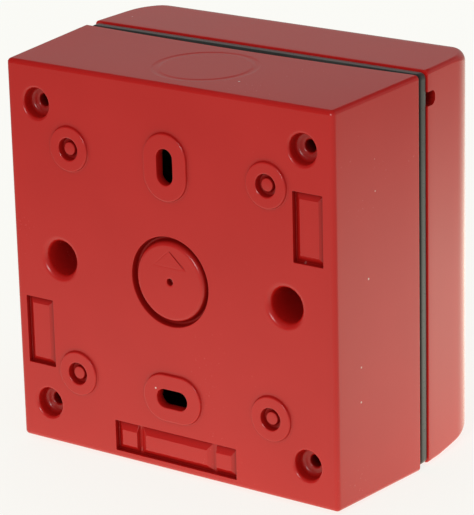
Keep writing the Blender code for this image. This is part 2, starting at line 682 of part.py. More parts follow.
def build_drop_carriage():
    carriage = block("drop_carriage", span(16.0), (41.2, 43.6), (-3.0, CARRIAGE_TOP), 0.8, "Y")
    for side, across in SIDES:
        join(carriage, block(f"shoulder_{side[0]}", on_side(across, 15.0, 23.4),
                             (39.3, 45.0), (16.6, 20.0)))
    join(carriage,
         block("flag_arm", span(14.0), (42.5, 54.9), (31.1, CARRIAGE_TOP)),
         block("trip_foot", (5.6, 9.4), (39.6, 43.0), (-8.55, 0.0), 0.5))
    cut(carriage, block("carriage_window", span(9.0), (40.0, 45.0), (4.0, 26.0), 2.0, "Y"))
    paint(carriage, **BLACK)


def build_indicator_flag():
    flag = block("indicator_flag", span(20.0), (55.3, 56.1), (24.1, CARRIAGE_TOP), 0.8, "Y")
    paint(flag, **YELLOW)


def build_springs():
    """Two drive springs above the carriage's shoulders, and one above the latch."""
    for side, across in SIDES:
        paint(coil(f"drive_spring_{side}", across * 19.8, 42.2, (20.75, 33.05),
                   radius=2.3, wire=0.35, turns=5), **SPRING_STEEL)
    paint(coil("latch_spring", 0.0, 46.5, (-22.45, -18.25),
               radius=1.25, wire=0.25, turns=3.5), **SPRING_STEEL)


# ---------------------------------------------------------------- key and cover latch
# Barrel: (radius, depth), with a groove for the seal and a thin tail behind
BARREL_PROFILE = [(0.0, 55.9), (3.8, 55.9), (4.25, 55.5), (4.25, 53.6), (3.4, 53.6),
                  (3.4, 52.2), (4.25, 52.2), (4.25, 48.9), (1.4, 48.9), (1.4, 43.9),
                  (0.0, 43.9)]


def build_key_barrel():
    barrel = turned("key_barrel", 0.0, KEY_Z, BARREL_PROFILE)
    cut(barrel,
        block("key_slot", span(2.9), (51.5, 57.0), span(0.8, KEY_Z)),
        block("key_ward", span(0.8), (53.0, 57.0), (KEY_Z - 2.0, KEY_Z + 0.4)))
    paint(smooth(pivot(baked(barrel), 0.0, 50.0, KEY_Z)), **BLACK)


def build_key_cam():
    """A disc set off centre on the barrel's tail."""
    cam = rod("key_cam", -1.6, KEY_Z, 4.2, LATCH_DEPTH)
    cut(cam, rod("cam_bore", 0.0, KEY_Z, 1.7, (44.0, 49.0), 14))
    paint(smooth(pivot(baked(cam), 0.0, 46.7, KEY_Z)), **CAM_GREY)


def build_barrel_clip():
    clip = turned("barrel_clip", 0.0, KEY_Z, [
        (3.0, 45.2), (3.0, 44.5), (1.7, 44.5), (1.7, 45.2)], 18, closed=True)
    cut(clip, block("clip_mouth", span(0.7), (44.0, 46.0), (KEY_Z - 4.0, KEY_Z - 1.0)))
    paint(smooth(pivot(baked(clip), 0.0, 44.8, KEY_Z)), **STEEL)


def build_barrel_seal():
    radius, depth, steps = 4.08, 52.9, 20
    ring = []
    for i in range(steps):
        angle = 2 * math.pi * i / steps
        ring.append((radius * math.cos(angle), depth, KEY_Z + radius * math.sin(angle)))
    seal = solid_wire(pipe("barrel_seal", ring, 0.42, cyclic=True))
    paint(smooth(pivot(seal, 0.0, depth, KEY_Z)), **RUBBER)


def build_cover_latch():
    """A frame around the cam, with a tongue at the bottom."""
    latch = block("cover_latch", span(8.4), LATCH_DEPTH, (-36.2, -23.1), 0.8, "Y")
    cut(latch, block("latch_window", span(6.6), (44.0, 50.0), (-34.6, -24.7)))
    join(latch, block("latch_tongue", span(4.0), LATCH_DEPTH, (-40.2, -35.5), 0.6))
    paint(pivot(latch, 0.0, 46.75, -30.0), **BLACK)


# ---------------------------------------------------------------- assembly
build_back_box()
build_box_gasket()
build_front_cover()
build_indicator_lens()
build_base_plate()
build_mechanism_frame()
build_screws()
build_circuit_board()
build_terminal_block()
build_resistor(1, -2.0, RESISTOR_TAN)
build_resistor(2, 4.5, RESISTOR_BLUE)
build_turned_parts()
build_switch_body()
build_switch_plunger()
build_switch_lever()
build_switch_wire("switch_wire_red", -3.5, WIRE_RED)
build_switch_wire("switch_wire_black", 3.5, WIRE_BLACK)
build_operating_element()
build_element_carrier()
build_drop_carriage()
build_indicator_flag()
build_springs()
build_key_barrel()
build_key_cam()
build_barrel_clip()
build_barrel_seal()
build_cover_latch()
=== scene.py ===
"""Looks of a manual call point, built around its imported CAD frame.

X runs to the right and Z up, as seen from the front. The wall side of the back box lies at
depth 0 and depth grows along -Y to the front of the cover. Sizes are in millimetres unless a
comment says otherwise; MM turns them into scene metres. A profile is a list of
(offset or radius, depth) points.
"""

import math
import random

import bmesh
import bpy
from mathutils import Matrix, Vector, geometry
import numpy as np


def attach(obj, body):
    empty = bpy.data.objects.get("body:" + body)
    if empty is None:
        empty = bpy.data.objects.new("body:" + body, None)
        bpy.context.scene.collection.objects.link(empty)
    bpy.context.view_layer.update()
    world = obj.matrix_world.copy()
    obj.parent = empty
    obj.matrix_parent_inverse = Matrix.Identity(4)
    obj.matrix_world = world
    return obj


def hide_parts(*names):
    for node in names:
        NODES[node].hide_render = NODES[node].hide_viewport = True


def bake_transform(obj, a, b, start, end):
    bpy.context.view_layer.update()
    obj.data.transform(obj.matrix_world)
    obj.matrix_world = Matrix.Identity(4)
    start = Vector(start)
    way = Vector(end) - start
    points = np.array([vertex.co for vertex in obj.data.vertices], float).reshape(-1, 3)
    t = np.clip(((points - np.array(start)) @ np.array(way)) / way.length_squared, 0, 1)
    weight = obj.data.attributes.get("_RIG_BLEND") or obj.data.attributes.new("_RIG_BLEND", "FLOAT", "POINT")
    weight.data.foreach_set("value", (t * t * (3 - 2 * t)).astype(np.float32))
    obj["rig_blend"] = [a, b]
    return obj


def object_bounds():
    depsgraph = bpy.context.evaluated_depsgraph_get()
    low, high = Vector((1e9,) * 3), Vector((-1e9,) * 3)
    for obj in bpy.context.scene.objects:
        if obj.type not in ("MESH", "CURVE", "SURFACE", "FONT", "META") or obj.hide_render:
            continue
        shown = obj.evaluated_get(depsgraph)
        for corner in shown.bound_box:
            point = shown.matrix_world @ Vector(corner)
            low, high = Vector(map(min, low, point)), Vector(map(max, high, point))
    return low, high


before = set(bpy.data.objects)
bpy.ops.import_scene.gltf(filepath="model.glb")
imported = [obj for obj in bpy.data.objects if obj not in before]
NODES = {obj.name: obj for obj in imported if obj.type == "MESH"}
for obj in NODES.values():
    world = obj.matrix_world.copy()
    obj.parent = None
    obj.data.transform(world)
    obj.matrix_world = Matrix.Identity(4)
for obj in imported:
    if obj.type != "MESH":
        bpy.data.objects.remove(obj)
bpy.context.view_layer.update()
MM = 0.001
random.seed(7)

# Places that several pieces share
SIDES = {"left": -1, "right": 1}
CORNER = 35.15          # case screws and their bosses, in x and z
PAD = 26.15             # round pads on the wall side, in x and z
PITCH = 30.15           # side bosses and module screws, in x
WINDOW_Z = 2.0
KEY_Z = -29.5
LED_X, LED_Z = 29.5, 20.0


# ================================================================= outlines and profiles
def circle(x, z, radius, count):
    angles = [2 * math.pi * i / count for i in range(count)]
    return [(x + radius * math.cos(angle), z + radius * math.sin(angle)) for angle in angles]


def rounded_rect(left, right, low, high, radius, segments):
    """A rounded rectangle as points, with this many segments a corner."""
    radius = max(min(radius, (right - left) / 2 - 1e-4, (high - low) / 2 - 1e-4), 0.01)
    corners = ((right - radius, high - radius, 0), (left + radius, high - radius, 90),
               (left + radius, low + radius, 180), (right - radius, low + radius, 270))
    points = []
    for x, z, start in corners:
        for i in range(segments + 1):
            angle = math.radians(start + 90.0 * i / segments)
            points.append((x + radius * math.cos(angle), z + radius * math.sin(angle)))
    return points


def round_at(x, z, count):
    """A circular outline whose offset is its radius."""
    return lambda radius: circle(x, z, radius, count)


def rect_at(left, right, low, high, radius, segments):
    """A rounded rectangular outline that grows with its offset."""
    return lambda grow: rounded_rect(left - grow, right + grow, low - grow, high + grow,
                                     radius + grow, segments)


def stadium_at(left, right, low, high):
    """An outline whose short sides are all but half circles."""
    radius = min(right - left, high - low) / 2 - 0.01
    return rect_at(left, right, low, high, radius, 12)


def split_sides(corners, count):
    """A closed polygon's points with every side split into equal parts."""
    points = []
    for (x, z), (next_x, next_z) in zip(corners, corners[1:] + corners[:1]):
        points += [(x + (next_x - x) * i / count, z + (next_z - z) * i / count)
                   for i in range(count)]
    return points


def arc(start, end, segments):
    """A quarter ellipse of (offset, depth) points that leaves its start along the offset."""
    (offset, depth), (end_offset, end_depth) = start, end
    turns = [math.pi / 2 * i / segments for i in range(segments + 1)]
    return [(offset + (end_offset - offset) * math.sin(turn),
             depth + (end_depth - depth) * (1 - math.cos(turn))) for turn in turns]


# ================================================================= mesh tools
def bridge(work, first, second, material=0):
    """A closed band of quads between two loops of as many vertices."""
    for i in range(len(first)):
        j = (i + 1) % len(first)
        face = work.faces.new((first[i], first[j], second[j], second[i]))
        face.material_index = material


def to_mesh(work, name, recalculate=True):
    if recalculate:
        bmesh.ops.recalc_face_normals(work, faces=work.faces)
    mesh = bpy.data.meshes.new(name)
    work.to_mesh(mesh)
    work.free()
    return mesh


def weigh_normals(obj):
    modifier = obj.modifiers.new("normals", "WEIGHTED_NORMAL")
    modifier.keep_sharp = True
    modifier.weight = 60


def dress(name, mesh, angle, weighted=True):
    """Makes an object of a mesh, smooth below the given edge angle in degrees."""
    mesh.shade_smooth()
    mesh.set_sharp_from_angle(angle=math.radians(angle))
    obj = bpy.data.objects.new(name, mesh)
    bpy.context.scene.collection.objects.link(obj)
    if weighted:
        weigh_normals(obj)
    return obj


class Shell:
    """A mesh made of nested outlines in XZ, each at a depth along -Y."""

    def __init__(self, name):
        self.name = name
        self.work = bmesh.new()

    def ring(self, points, depth):
        """Vertices on an outline; the depth is a number or a function of x and z."""
        depth_at = depth if callable(depth) else lambda x, z: depth
        return [self.work.verts.new((x * MM, -depth_at(x, z) * MM, z * MM)) for x, z in points]

    def skin(self, rings, material=0):
        for first, second in zip(rings, rings[1:]):
            bridge(self.work, first, second, material)

    def chain(self, outline, profile):
        """Skins an outline along its profile and gives back the first and last rings."""
        rings = [self.ring(outline(offset), depth) for offset, depth in profile]
        self.skin(rings)
        return rings[0], rings[-1]

    def cap(self, ring):
        """Closes a ring with a fan about its centre."""
        centre = sum((vert.co for vert in ring), Vector()) / len(ring)
        hub = self.work.verts.new(centre)
        for i in range(len(ring)):
            self.work.faces.new((ring[i], ring[(i + 1) % len(ring)], hub))

    def lip(self, loop, outward, width, material):
        """A narrow flat strip along a ring.

        It keeps the shading of a rounded edge off the flat face."""
        points = [Vector((vert.co.x * 1000, vert.co.z * 1000)) for vert in loop]
        count = len(points)
        turn = sum(points[i].x * points[(i + 1) % count].y - points[(i + 1) % count].x * points[i].y
                   for i in range(count))
        sign = (1 if outward else -1) * (1 if turn > 0 else -1)
        ring = []
        for i, vert in enumerate(loop):
            before = (points[i] - points[i - 1]).normalized()
            after = (points[(i + 1) % count] - points[i]).normalized()
            square = Vector((before.y, -before.x))
            side = Vector((before.y + after.y, -before.x - after.x))
            side = side.normalized() if side.length > 1e-6 else square
            stretch = width / max(side.dot(square), 0.5)
            point = points[i] + side * sign * stretch
            ring.append(self.work.verts.new((point.x * MM, vert.co.y, point.y * MM)))
        bridge(self.work, loop, ring, material)
        return ring

    def fill(self, outer, holes=(), material=0, strip=0.04):
        """Triangles between an outer ring and the hole rings that lie in its plane."""
        if strip:
            outer = self.lip(outer, False, strip, material)
            holes = [self.lip(hole, True, strip, material) for hole in holes]
        loops = [outer, *holes]
        verts = [vert for loop in loops for vert in loop]
        flat = [Vector((vert.co.x * 1000, vert.co.z * 1000)) for vert in verts]
        edges = []
        for loop in loops:
            base = len(edges)
            edges += [(base + i, base + (i + 1) % len(loop)) for i in range(len(loop))]
        placed, _, faces, origin, _, _ = geometry.delaunay_2d_cdt(flat, edges, [], 0, 1e-6, True)
        source = [verts[inputs[0]] for inputs in origin]

        def inside(point):
            """Whether a line to the right of the point crosses the rings an odd number of times."""
            hits = 0
            for i, j in edges:
                start, end = flat[i], flat[j]
                if (start.y > point.y) != (end.y > point.y):
                    run = (end.x - start.x) * (point.y - start.y) / (end.y - start.y)
                    if point.x < run + start.x:
                        hits += 1
            return hits % 2 == 1

        for face in faces:
            if inside(sum((placed[i] for i in face), Vector((0, 0))) / len(face)):
                # Guards against a triangle that is there already or has merged corners.
                try:
                    self.work.faces.new([source[i] for i in face]).material_index = material
                except ValueError:
                    pass

    def object(self, angle=32.0):
        return dress(self.name, to_mesh(self.work, self.name), angle)


def turned_mesh(name, matrix, profile, count, materials=None):
    """A turned mesh of (radius, height) points, moved from the Z axis by the matrix."""
    work = bmesh.new()
    rings = []
    for radius, height in profile:
        points = circle(0, 0, radius, count) if radius >= 1e-6 else [(0, 0)]
        rings.append([work.verts.new((x * MM, y * MM, height * MM)) for x, y in points])
    for k, (first, second) in enumerate(zip(rings, rings[1:])):
        material = materials[k] if materials else 0
        if len(first) > 1 and len(second) > 1:
            bridge(work, first, second, material)
            continue
        for i in range(count):
            j = (i + 1) % count
            if len(first) == 1:
                face = work.faces.new((first[0], second[i], second[j]))
            else:
                face = work.faces.new((first[i], first[j], second[0]))
            face.material_index = material
    work.transform(matrix)
    return to_mesh(work, name)


def depth_axis(x, z):
    """Stands a turned mesh on the line through x and z, with its height as depth."""
    return Matrix.Translation((x * MM, 0, z * MM)) @ Matrix.Rotation(math.radians(90), 4, "X")


def turned(name, x, z, profile, count):
    return dress(name, turned_mesh(name, depth_axis(x, z), profile, count), angle=30.0)


def sweep(name, path, radius, sides=16, closed=False, weighted=True):
    """A round wire along (x, depth, z) points, with rounded ends unless it is closed."""
    points = [Vector((x, -depth, z)) * MM for x, depth, z in path]
    count = len(points)
    stations = []
    normal = None
    for i, point in enumerate(points):
        if closed:
            tangent = (points[(i + 1) % count] - points[i - 1]).normalized()
        else:
            tangent = (points[min(i + 1, count - 1)] - points[max(i - 1, 0)]).normalized()
        if normal is None:
            normal = tangent.orthogonal().normalized()
        normal = (normal - tangent * normal.dot(tangent)).normalized()
        stations.append((point, tangent, normal, tangent.cross(normal)))

    work = bmesh.new()

    def loop(station, scale, push):
        """A ring scaled in radius and pushed along the wire by a share of the radius."""
        centre, tangent, normal, other = station
        centre = centre + tangent * (radius * MM * push)
        turns = [2 * math.pi * k / sides for k in range(sides)]
        return [work.verts.new(centre + (normal * math.cos(turn) + other * math.sin(turn))
                               * (radius * scale) * MM) for turn in turns]

    start, end = stations[0], stations[-1]
    steps = [(station, 1.0, 0.0) for station in stations]
    if not closed:
        steps = ([(start, 0.55, -0.35), (start, 0.9, -0.15)] + steps
                 + [(end, 0.9, 0.15), (end, 0.55, 0.35)])
    loops = [loop(*step) for step in steps]
    for first, second in zip(loops, loops[1:] + ([loops[0]] if closed else [])):
        bridge(work, first, second)
    if not closed:
        work.faces.new(loops[0][::-1])
        work.faces.new(loops[-1])
    return dress(name, to_mesh(work, name), angle=60.0, weighted=weighted)


def block_mesh(name, x, depth, z, edge, segments):
    """A box between (low, high) pairs, with rounded edges."""
    work = bmesh.new()
    low = Vector((x[0], -depth[1], z[0])) * MM
    high = Vector((x[1], -depth[0], z[1])) * MM
    matrix = Matrix.Translation((low + high) / 2) @ Matrix.Diagonal((*(high - low), 1))
    bmesh.ops.create_cube(work, size=1.0, matrix=matrix)
    bmesh.ops.bevel(work, geom=list(work.edges), offset=edge * MM, segments=segments,
                    profile=0.5, affect="EDGES")
    return to_mesh(work, name)


def carve(obj, cutters, angle, operation="DIFFERENCE"):
    """Applies exact Booleans with throw-away meshes and shades the result again."""
    helpers = []
    for k, mesh in enumerate(cutters):
        helper = bpy.data.objects.new(f"{obj.name}_tool_{k}", mesh)
        bpy.context.scene.collection.objects.link(helper)
        helpers.append(helper)
    obj.modifiers.clear()
    for helper in helpers:
        modifier = obj.modifiers.new("cut", "BOOLEAN")
        modifier.operation = operation
        modifier.solver = "EXACT"
        modifier.object = helper
    bpy.context.view_layer.update()
    evaluated = obj.evaluated_get(bpy.context.evaluated_depsgraph_get())
    mesh = bpy.data.meshes.new_from_object(evaluated)
    name = obj.name
    for spent in helpers + [obj]:
        bpy.data.objects.remove(spent, do_unlink=True)
    work = bmesh.new()
    work.from_mesh(mesh)
    bmesh.ops.remove_doubles(work, verts=work.verts, dist=1e-7)
    work.to_mesh(mesh)
    work.free()
    mesh.materials.clear()
    return dress(name, mesh, angle)


def refined(node, edge, clamp):
    """A CAD node's own shape with rounded edges and smooth shading, as a new piece.

    Faces with more than four corners are split before the rounding: rounded as one polygon, a
    face round an opening comes out with triangles across the opening."""
    angle = 38.0
    mesh = NODES[node].data.copy()
    mesh.materials.clear()
    for attribute in list(mesh.attributes):
        if attribute.name == "custom_normal":
            mesh.attributes.remove(attribute)
    work = bmesh.new()
    work.from_mesh(mesh)
    bmesh.ops.remove_doubles(work, verts=work.verts, dist=2e-6)
    bmesh.ops.dissolve_limit(work, angle_limit=math.radians(1.0), verts=work.verts,
                             edges=work.edges)
    bmesh.ops.recalc_face_normals(work, faces=work.faces)
    bmesh.ops.triangulate(work, faces=[face for face in work.faces if len(face.verts) > 4])
    work.to_mesh(mesh)
    work.free()
    mesh.name = node + "_body"
    obj = dress(node + "_body", mesh, angle, weighted=False)
    bevel = obj.modifiers.new("edges", "BEVEL")
    bevel.width = edge * MM
    bevel.segments = 3
    bevel.limit_method = "ANGLE"
    bevel.angle_limit = math.radians(angle)
    bevel.harden_normals = False
    bevel.use_clamp_overlap = clamp
    bevel.miter_outer = "MITER_ARC"
    split = obj.modifiers.new("triangles", "TRIANGULATE")
    split.min_vertices = 5
    weigh_normals(obj)
    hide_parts(node)
    return obj


def place(obj, body, slot, *materials, node=None):
    """Gives a piece its materials and its body and hides the CAD node it stands for; slot is not used."""
    for material in materials:
        obj.data.materials.append(material)
    if node:
        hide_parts(node)
    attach(obj, body)


# ================================================================= shader nodes
# Ranges of a noise that are stretched to full contrast
DRIFT_RANGE = (0.35, 0.65)
FINE_RANGE = (0.3, 0.7)


def new_material(name):
    material = bpy.data.materials.new(name)
    material.use_nodes = True
    tree = material.node_tree
    return material, tree, tree.nodes["Principled BSDF"]


def coords(tree, stretch=(1, 1, 1)):
    texture = tree.nodes.new("ShaderNodeTexCoord")
    mapping = tree.nodes.new("ShaderNodeMapping")
    mapping.inputs["Scale"].default_value = stretch
    tree.links.new(texture.outputs["Object"], mapping.inputs["Vector"])
    return mapping.outputs["Vector"]


def noise(tree, vector, scale, detail=3.0, rough=0.55):
    node = tree.nodes.new("ShaderNodeTexNoise")
    node.inputs["Scale"].default_value = scale
    node.inputs["Detail"].default_value = detail
    node.inputs["Roughness"].default_value = rough
    tree.links.new(vector, node.inputs["Vector"])
    return node.outputs["Fac"]


def ramp(tree, value, source, target=(0.0, 1.0)):
    """Maps the source range of a value onto the target range, clamped."""
    node = tree.nodes.new("ShaderNodeMapRange")
    node.inputs["From Min"].default_value, node.inputs["From Max"].default_value = source
    node.inputs["To Min"].default_value, node.inputs["To Max"].default_value = target
    tree.links.new(value, node.inputs["Value"])
    return node.outputs["Result"]


def mix(tree, factor, first, second):
    """Mixes two colours, each an RGB tuple or a socket."""
    node = tree.nodes.new("ShaderNodeMix")
    node.data_type = "RGBA"
    tree.links.new(factor, node.inputs[0])
    for socket, value in ((node.inputs[6], first), (node.inputs[7], second)):
        if isinstance(value, tuple):
            socket.default_value = (*value, 1.0)
        else:
            tree.links.new(value, socket)
    return node.outputs[2]


def calculate(tree, operation, *values):
    """A math node on numbers or sockets."""
    node = tree.nodes.new("ShaderNodeMath")
    node.operation = operation
    for socket, value in zip(node.inputs, values):
        if isinstance(value, (int, float)):
            socket.default_value = value
        else:
            tree.links.new(value, socket)
    return node.outputs[0]


def weighted_sum(tree, first, second, weights):
    return calculate(tree, "MULTIPLY_ADD", first, weights[0],
                     calculate(tree, "MULTIPLY", second, weights[1]))


def bump(tree, shader, height, strength, distance):
    node = tree.nodes.new("ShaderNodeBump")
    node.inputs["Strength"].default_value = strength
    node.inputs["Distance"].default_value = distance
    tree.links.new(height, node.inputs["Height"])
    tree.links.new(node.outputs["Normal"], shader.inputs["Normal"])


def openness_of(tree, distance):
    """How open the surface is to its own piece within a distance in metres."""
    node = tree.nodes.new("ShaderNodeAmbientOcclusion")
    node.samples = 6
    node.only_local = True
    node.inputs["Distance"].default_value = distance
    return node.outputs["AO"]


# ================================================================= material kinds
# Noise scales are per metre and bump distances are in metres.
SPECULAR = 0.5
# Colour of the shade painted into the hollows of the red mouldings
PAINTED_CAVITY_SHADE = (0.012, 0.001, 0.001)


def add_specks(tree, vector, colour, speck):
    """Scatters small dots over a colour, in a few of the cells of a Voronoi pattern."""
    size = 0.038
    cells = tree.nodes.new("ShaderNodeTexVoronoi")
    cells.inputs["Scale"].default_value = 230.0
    tree.links.new(vector, cells.inputs["Vector"])
    lot = tree.nodes.new("ShaderNodeSeparateColor")
    tree.links.new(cells.outputs["Color"], lot.inputs[0])
    chosen = ramp(tree, lot.outputs[0], (0.955, 0.96))
    near = ramp(tree, cells.outputs["Distance"], (size, size * 1.8), (1.0, 0.0))
    return mix(tree, calculate(tree, "MULTIPLY", chosen, near), colour, speck)


def paint_cavity_shade(tree, shader, vector, colour, reach):
    """Paints shade into hollows, darker deep inside the piece, and takes the shine off them as painted
    shade.
    """
    wide = openness_of(tree, reach)
    crease = openness_of(tree, 0.0011)
    openness = calculate(tree, "MULTIPLY", ramp(tree, wide, (0.25, 0.88)),
                         ramp(tree, crease, (0.25, 0.9), (0.45, 1.0)))
    axes = tree.nodes.new("ShaderNodeSeparateXYZ")
    tree.links.new(vector, axes.inputs[0])
    # The painted shade grows darker with depth into the box; hollows also lose their shine, a painted shade
    # on their reflections.
    deep = ramp(tree, axes.outputs["Y"], (-0.007, -0.0015), (0.94, 0.5))
    shine = ramp(tree, openness, (0.0, 0.45), (SPECULAR * 0.2, SPECULAR))
    tree.links.new(shine, shader.inputs["Specular IOR Level"])
    return mix(tree, openness, mix(tree, deep, colour, PAINTED_CAVITY_SHADE), colour)


def moulded(name, dark, light, rough=(0.3, 0.4), grain=900.0, grain_depth=0.00001, flow=2.0,
            speck=None, shade_reach=None):
    """Moulded plastic: slow colour drift, a fine grain and faint flow waves.

    flow weighs the waves against the grain, speck is the colour of scattered dots and the last argument the
    reach, in metres, of the shade painted into hollows."""
    material, tree, shader = new_material(name)
    vector = coords(tree)
    drift = noise(tree, vector, scale=38.0, detail=2.0)
    fine = noise(tree, vector, scale=grain, detail=4.0, rough=0.6)
    waves = noise(tree, vector, scale=70.0, detail=1.0)
    colour = mix(tree, ramp(tree, drift, DRIFT_RANGE), dark, light)
    uneven = weighted_sum(tree, fine, drift, weights=(0.6, 0.4))
    rough_map = ramp(tree, uneven, FINE_RANGE, rough)
    if speck:
        colour = add_specks(tree, vector, colour, speck)
    if shade_reach:
        colour = paint_cavity_shade(tree, shader, vector, colour, shade_reach)
    else:
        shader.inputs["Specular IOR Level"].default_value = SPECULAR
    tree.links.new(colour, shader.inputs["Base Color"])
    tree.links.new(rough_map, shader.inputs["Roughness"])
    height = weighted_sum(tree, fine, waves, weights=(1.0, flow))
    bump(tree, shader, height, strength=0.6, distance=grain_depth)
    return material


def rubbery(name, dark, light, rough=(0.55, 0.75)):
    material, tree, shader = new_material(name)
    vector = coords(tree)
    fine = noise(tree, vector, scale=1600.0, detail=5.0, rough=0.65)
    drift = noise(tree, vector, scale=60.0)
    colour = mix(tree, ramp(tree, drift, DRIFT_RANGE), dark, light)
    tree.links.new(colour, shader.inputs["Base Color"])
    tree.links.new(ramp(tree, fine, FINE_RANGE, rough), shader.inputs["Roughness"])
    shader.inputs["Sheen Weight"].default_value = 0.15
    shader.inputs["Sheen Roughness"].default_value = 0.4
    bump(tree, shader, fine, strength=0.8, distance=0.00002)
    return material


def metal(name, dark, light, rough=(0.2, 0.38), stretch=(1, 1, 1)):
    """Metal whose fine grain can be stretched along an axis, as brushing does."""
    material, tree, shader = new_material(name)
    fine = noise(tree, coords(tree, stretch), scale=700.0, detail=4.0, rough=0.6)
    drift = noise(tree, coords(tree), scale=180.0)
    colour = mix(tree, ramp(tree, drift, DRIFT_RANGE), dark, light)
    tree.links.new(colour, shader.inputs["Base Color"])
    tree.links.new(ramp(tree, fine, FINE_RANGE, rough), shader.inputs["Roughness"])
    shader.inputs["Metallic"].default_value = 1.0
    bump(tree, shader, fine, strength=0.4, distance=0.000006)
    return material


def clear(name, tint, rough, solid):
    """Tinted clear moulding, kept partly opaque so that it reads on a small lens."""
    material, tree, shader = new_material(name)
    fine = noise(tree, coords(tree), scale=500.0, detail=2.0)
    bright = tuple(min(1.0, channel * 1.15) for channel in tint)
    tree.links.new(mix(tree, fine, tint, bright), shader.inputs["Base Color"])
    rough_map = ramp(tree, fine, FINE_RANGE, (rough, rough + 0.05))
    tree.links.new(rough_map, shader.inputs["Roughness"])
    shader.inputs["Transmission Weight"].default_value = 1.0 - solid
    shader.inputs["IOR"].default_value = 1.49
    bump(tree, shader, fine, strength=0.3, distance=0.000004)
    return material


def laminate(name):
    """Green board with a lighter, raised grid of brick joints as its tracks."""
    material, tree, shader = new_material(name)
    vector = coords(tree)
    brick = tree.nodes.new("ShaderNodeTexBrick")
    brick.inputs["Scale"].default_value = 120.0
    brick.inputs["Mortar Size"].default_value = 0.09
    brick.inputs["Mortar Smooth"].default_value = 0.1
    # The brick pattern lies in XY, so it is turned to face along depth.
    turn = tree.nodes.new("ShaderNodeMapping")
    turn.inputs["Rotation"].default_value = (math.radians(90), 0, 0)
    tree.links.new(vector, turn.inputs["Vector"])
    tree.links.new(turn.outputs["Vector"], brick.inputs["Vector"])
    fine = noise(tree, vector, scale=900.0)
    base = mix(tree, ramp(tree, fine, FINE_RANGE), (0.012, 0.14, 0.055), (0.02, 0.19, 0.075))
    tracks = ramp(tree, brick.outputs["Fac"], FINE_RANGE, (0.0, 0.6))
    tree.links.new(mix(tree, tracks, base, (0.05, 0.3, 0.1)), shader.inputs["Base Color"])
    tree.links.new(ramp(tree, fine, FINE_RANGE, (0.25, 0.4)), shader.inputs["Roughness"])
    bump(tree, shader, brick.outputs["Fac"], strength=0.5, distance=0.00003)
    return material


# ================================================================= materials
CASE_LOOK = dict(dark=(0.50, 0.0085, 0.0065), grain=1300.0, grain_depth=0.000004, flow=0.4,
                 speck=(0.80, 0.62, 0.58))
# The red mouldings get shade painted into their hollows, reaching this far in metres.
RED = moulded("red_moulding", light=(0.525, 0.0105, 0.0085), rough=(0.22, 0.28), shade_reach=0.005,
              **CASE_LOOK)
COVER_RED = moulded("cover_moulding", light=(0.53, 0.011, 0.0085), rough=(0.20, 0.26),
                    shade_reach=0.004, **CASE_LOOK)
SEAL = rubbery("seal_rubber_finish", dark=(0.03, 0.033, 0.03), light=(0.042, 0.045, 0.041),
               rough=(0.26, 0.34))
RUBBER_DARK = rubbery("dark_rubber_finish", dark=(0.012, 0.012, 0.012), light=(0.02, 0.02, 0.02))
BLACK = moulded("black_moulding", dark=(0.014, 0.014, 0.015), light=(0.022, 0.022, 0.023),
                rough=(0.38, 0.52), grain=1500.0)
WHITE = moulded("white_moulding", dark=(0.66, 0.66, 0.63), light=(0.72, 0.72, 0.69),
                rough=(0.35, 0.45), grain=1300.0, grain_depth=0.000008)
FACE = moulded("element_face_finish", dark=(0.74, 0.74, 0.71), light=(0.78, 0.78, 0.75),
               rough=(0.2, 0.28), grain_depth=0.000003)
MARK = moulded("printed_mark", dark=(0.008, 0.008, 0.008), light=(0.014, 0.014, 0.014),
               grain=1500.0, grain_depth=0.000003)
YELLOW = moulded("flag_moulding", dark=(0.78, 0.50, 0.015), light=(0.83, 0.56, 0.02),
                 grain=1300.0, grain_depth=0.000006)
GREEN = moulded("terminal_moulding", dark=(0.012, 0.13, 0.05), light=(0.018, 0.16, 0.065),
                rough=(0.35, 0.45), grain=1300.0, grain_depth=0.000008)
BOARD = laminate("board_laminate")
ZINC = metal("zinc_plate", dark=(0.46, 0.46, 0.44), light=(0.6, 0.6, 0.57))
SPRING = metal("spring_wire", dark=(0.4, 0.4, 0.41), light=(0.55, 0.55, 0.56), rough=(0.16, 0.3))
BRASS = metal("brass_plate", dark=(0.55, 0.4, 0.16), light=(0.68, 0.5, 0.22))
CAST = metal("die_cast", dark=(0.36, 0.36, 0.35), light=(0.46, 0.46, 0.45), rough=(0.38, 0.5))
STRIP = metal("switch_strip", dark=(0.5, 0.5, 0.48), light=(0.6, 0.6, 0.58),
              rough=(0.2, 0.35), stretch=(1, 1, 8))
LENS = clear("red_lens", tint=(0.65, 0.02, 0.015), rough=0.05, solid=0.5)
PIPE = clear("light_guide", tint=(0.86, 0.88, 0.88), rough=0.05, solid=0.15)
PLUNGER = moulded("plunger_moulding", dark=(0.5, 0.02, 0.015), light=(0.56, 0.03, 0.02))
LACQUER_A = moulded("resistor_lacquer_a", dark=(0.52, 0.38, 0.22), light=(0.6, 0.45, 0.28))
LACQUER_B = moulded("resistor_lacquer_b", dark=(0.12, 0.24, 0.42), light=(0.16, 0.3, 0.5))
BAND_DARK = moulded("band_dark", dark=(0.05, 0.02, 0.01), light=(0.07, 0.03, 0.015))
BAND_RED = moulded("band_red", dark=(0.45, 0.03, 0.02), light=(0.5, 0.04, 0.03))
BAND_GOLD = metal("band_gold", dark=(0.5, 0.35, 0.1), light=(0.6, 0.42, 0.14))
SLEEVE = moulded("capacitor_sleeve_finish", dark=(0.02, 0.03, 0.09), light=(0.03, 0.04, 0.12),
                 rough=(0.22, 0.3))
WIRE_RED = rubbery("red_insulation", dark=(0.4, 0.012, 0.01), light=(0.46, 0.02, 0.015))
WIRE_BLACK = rubbery("black_insulation", dark=(0.012, 0.012, 0.012), light=(0.02, 0.02, 0.02))

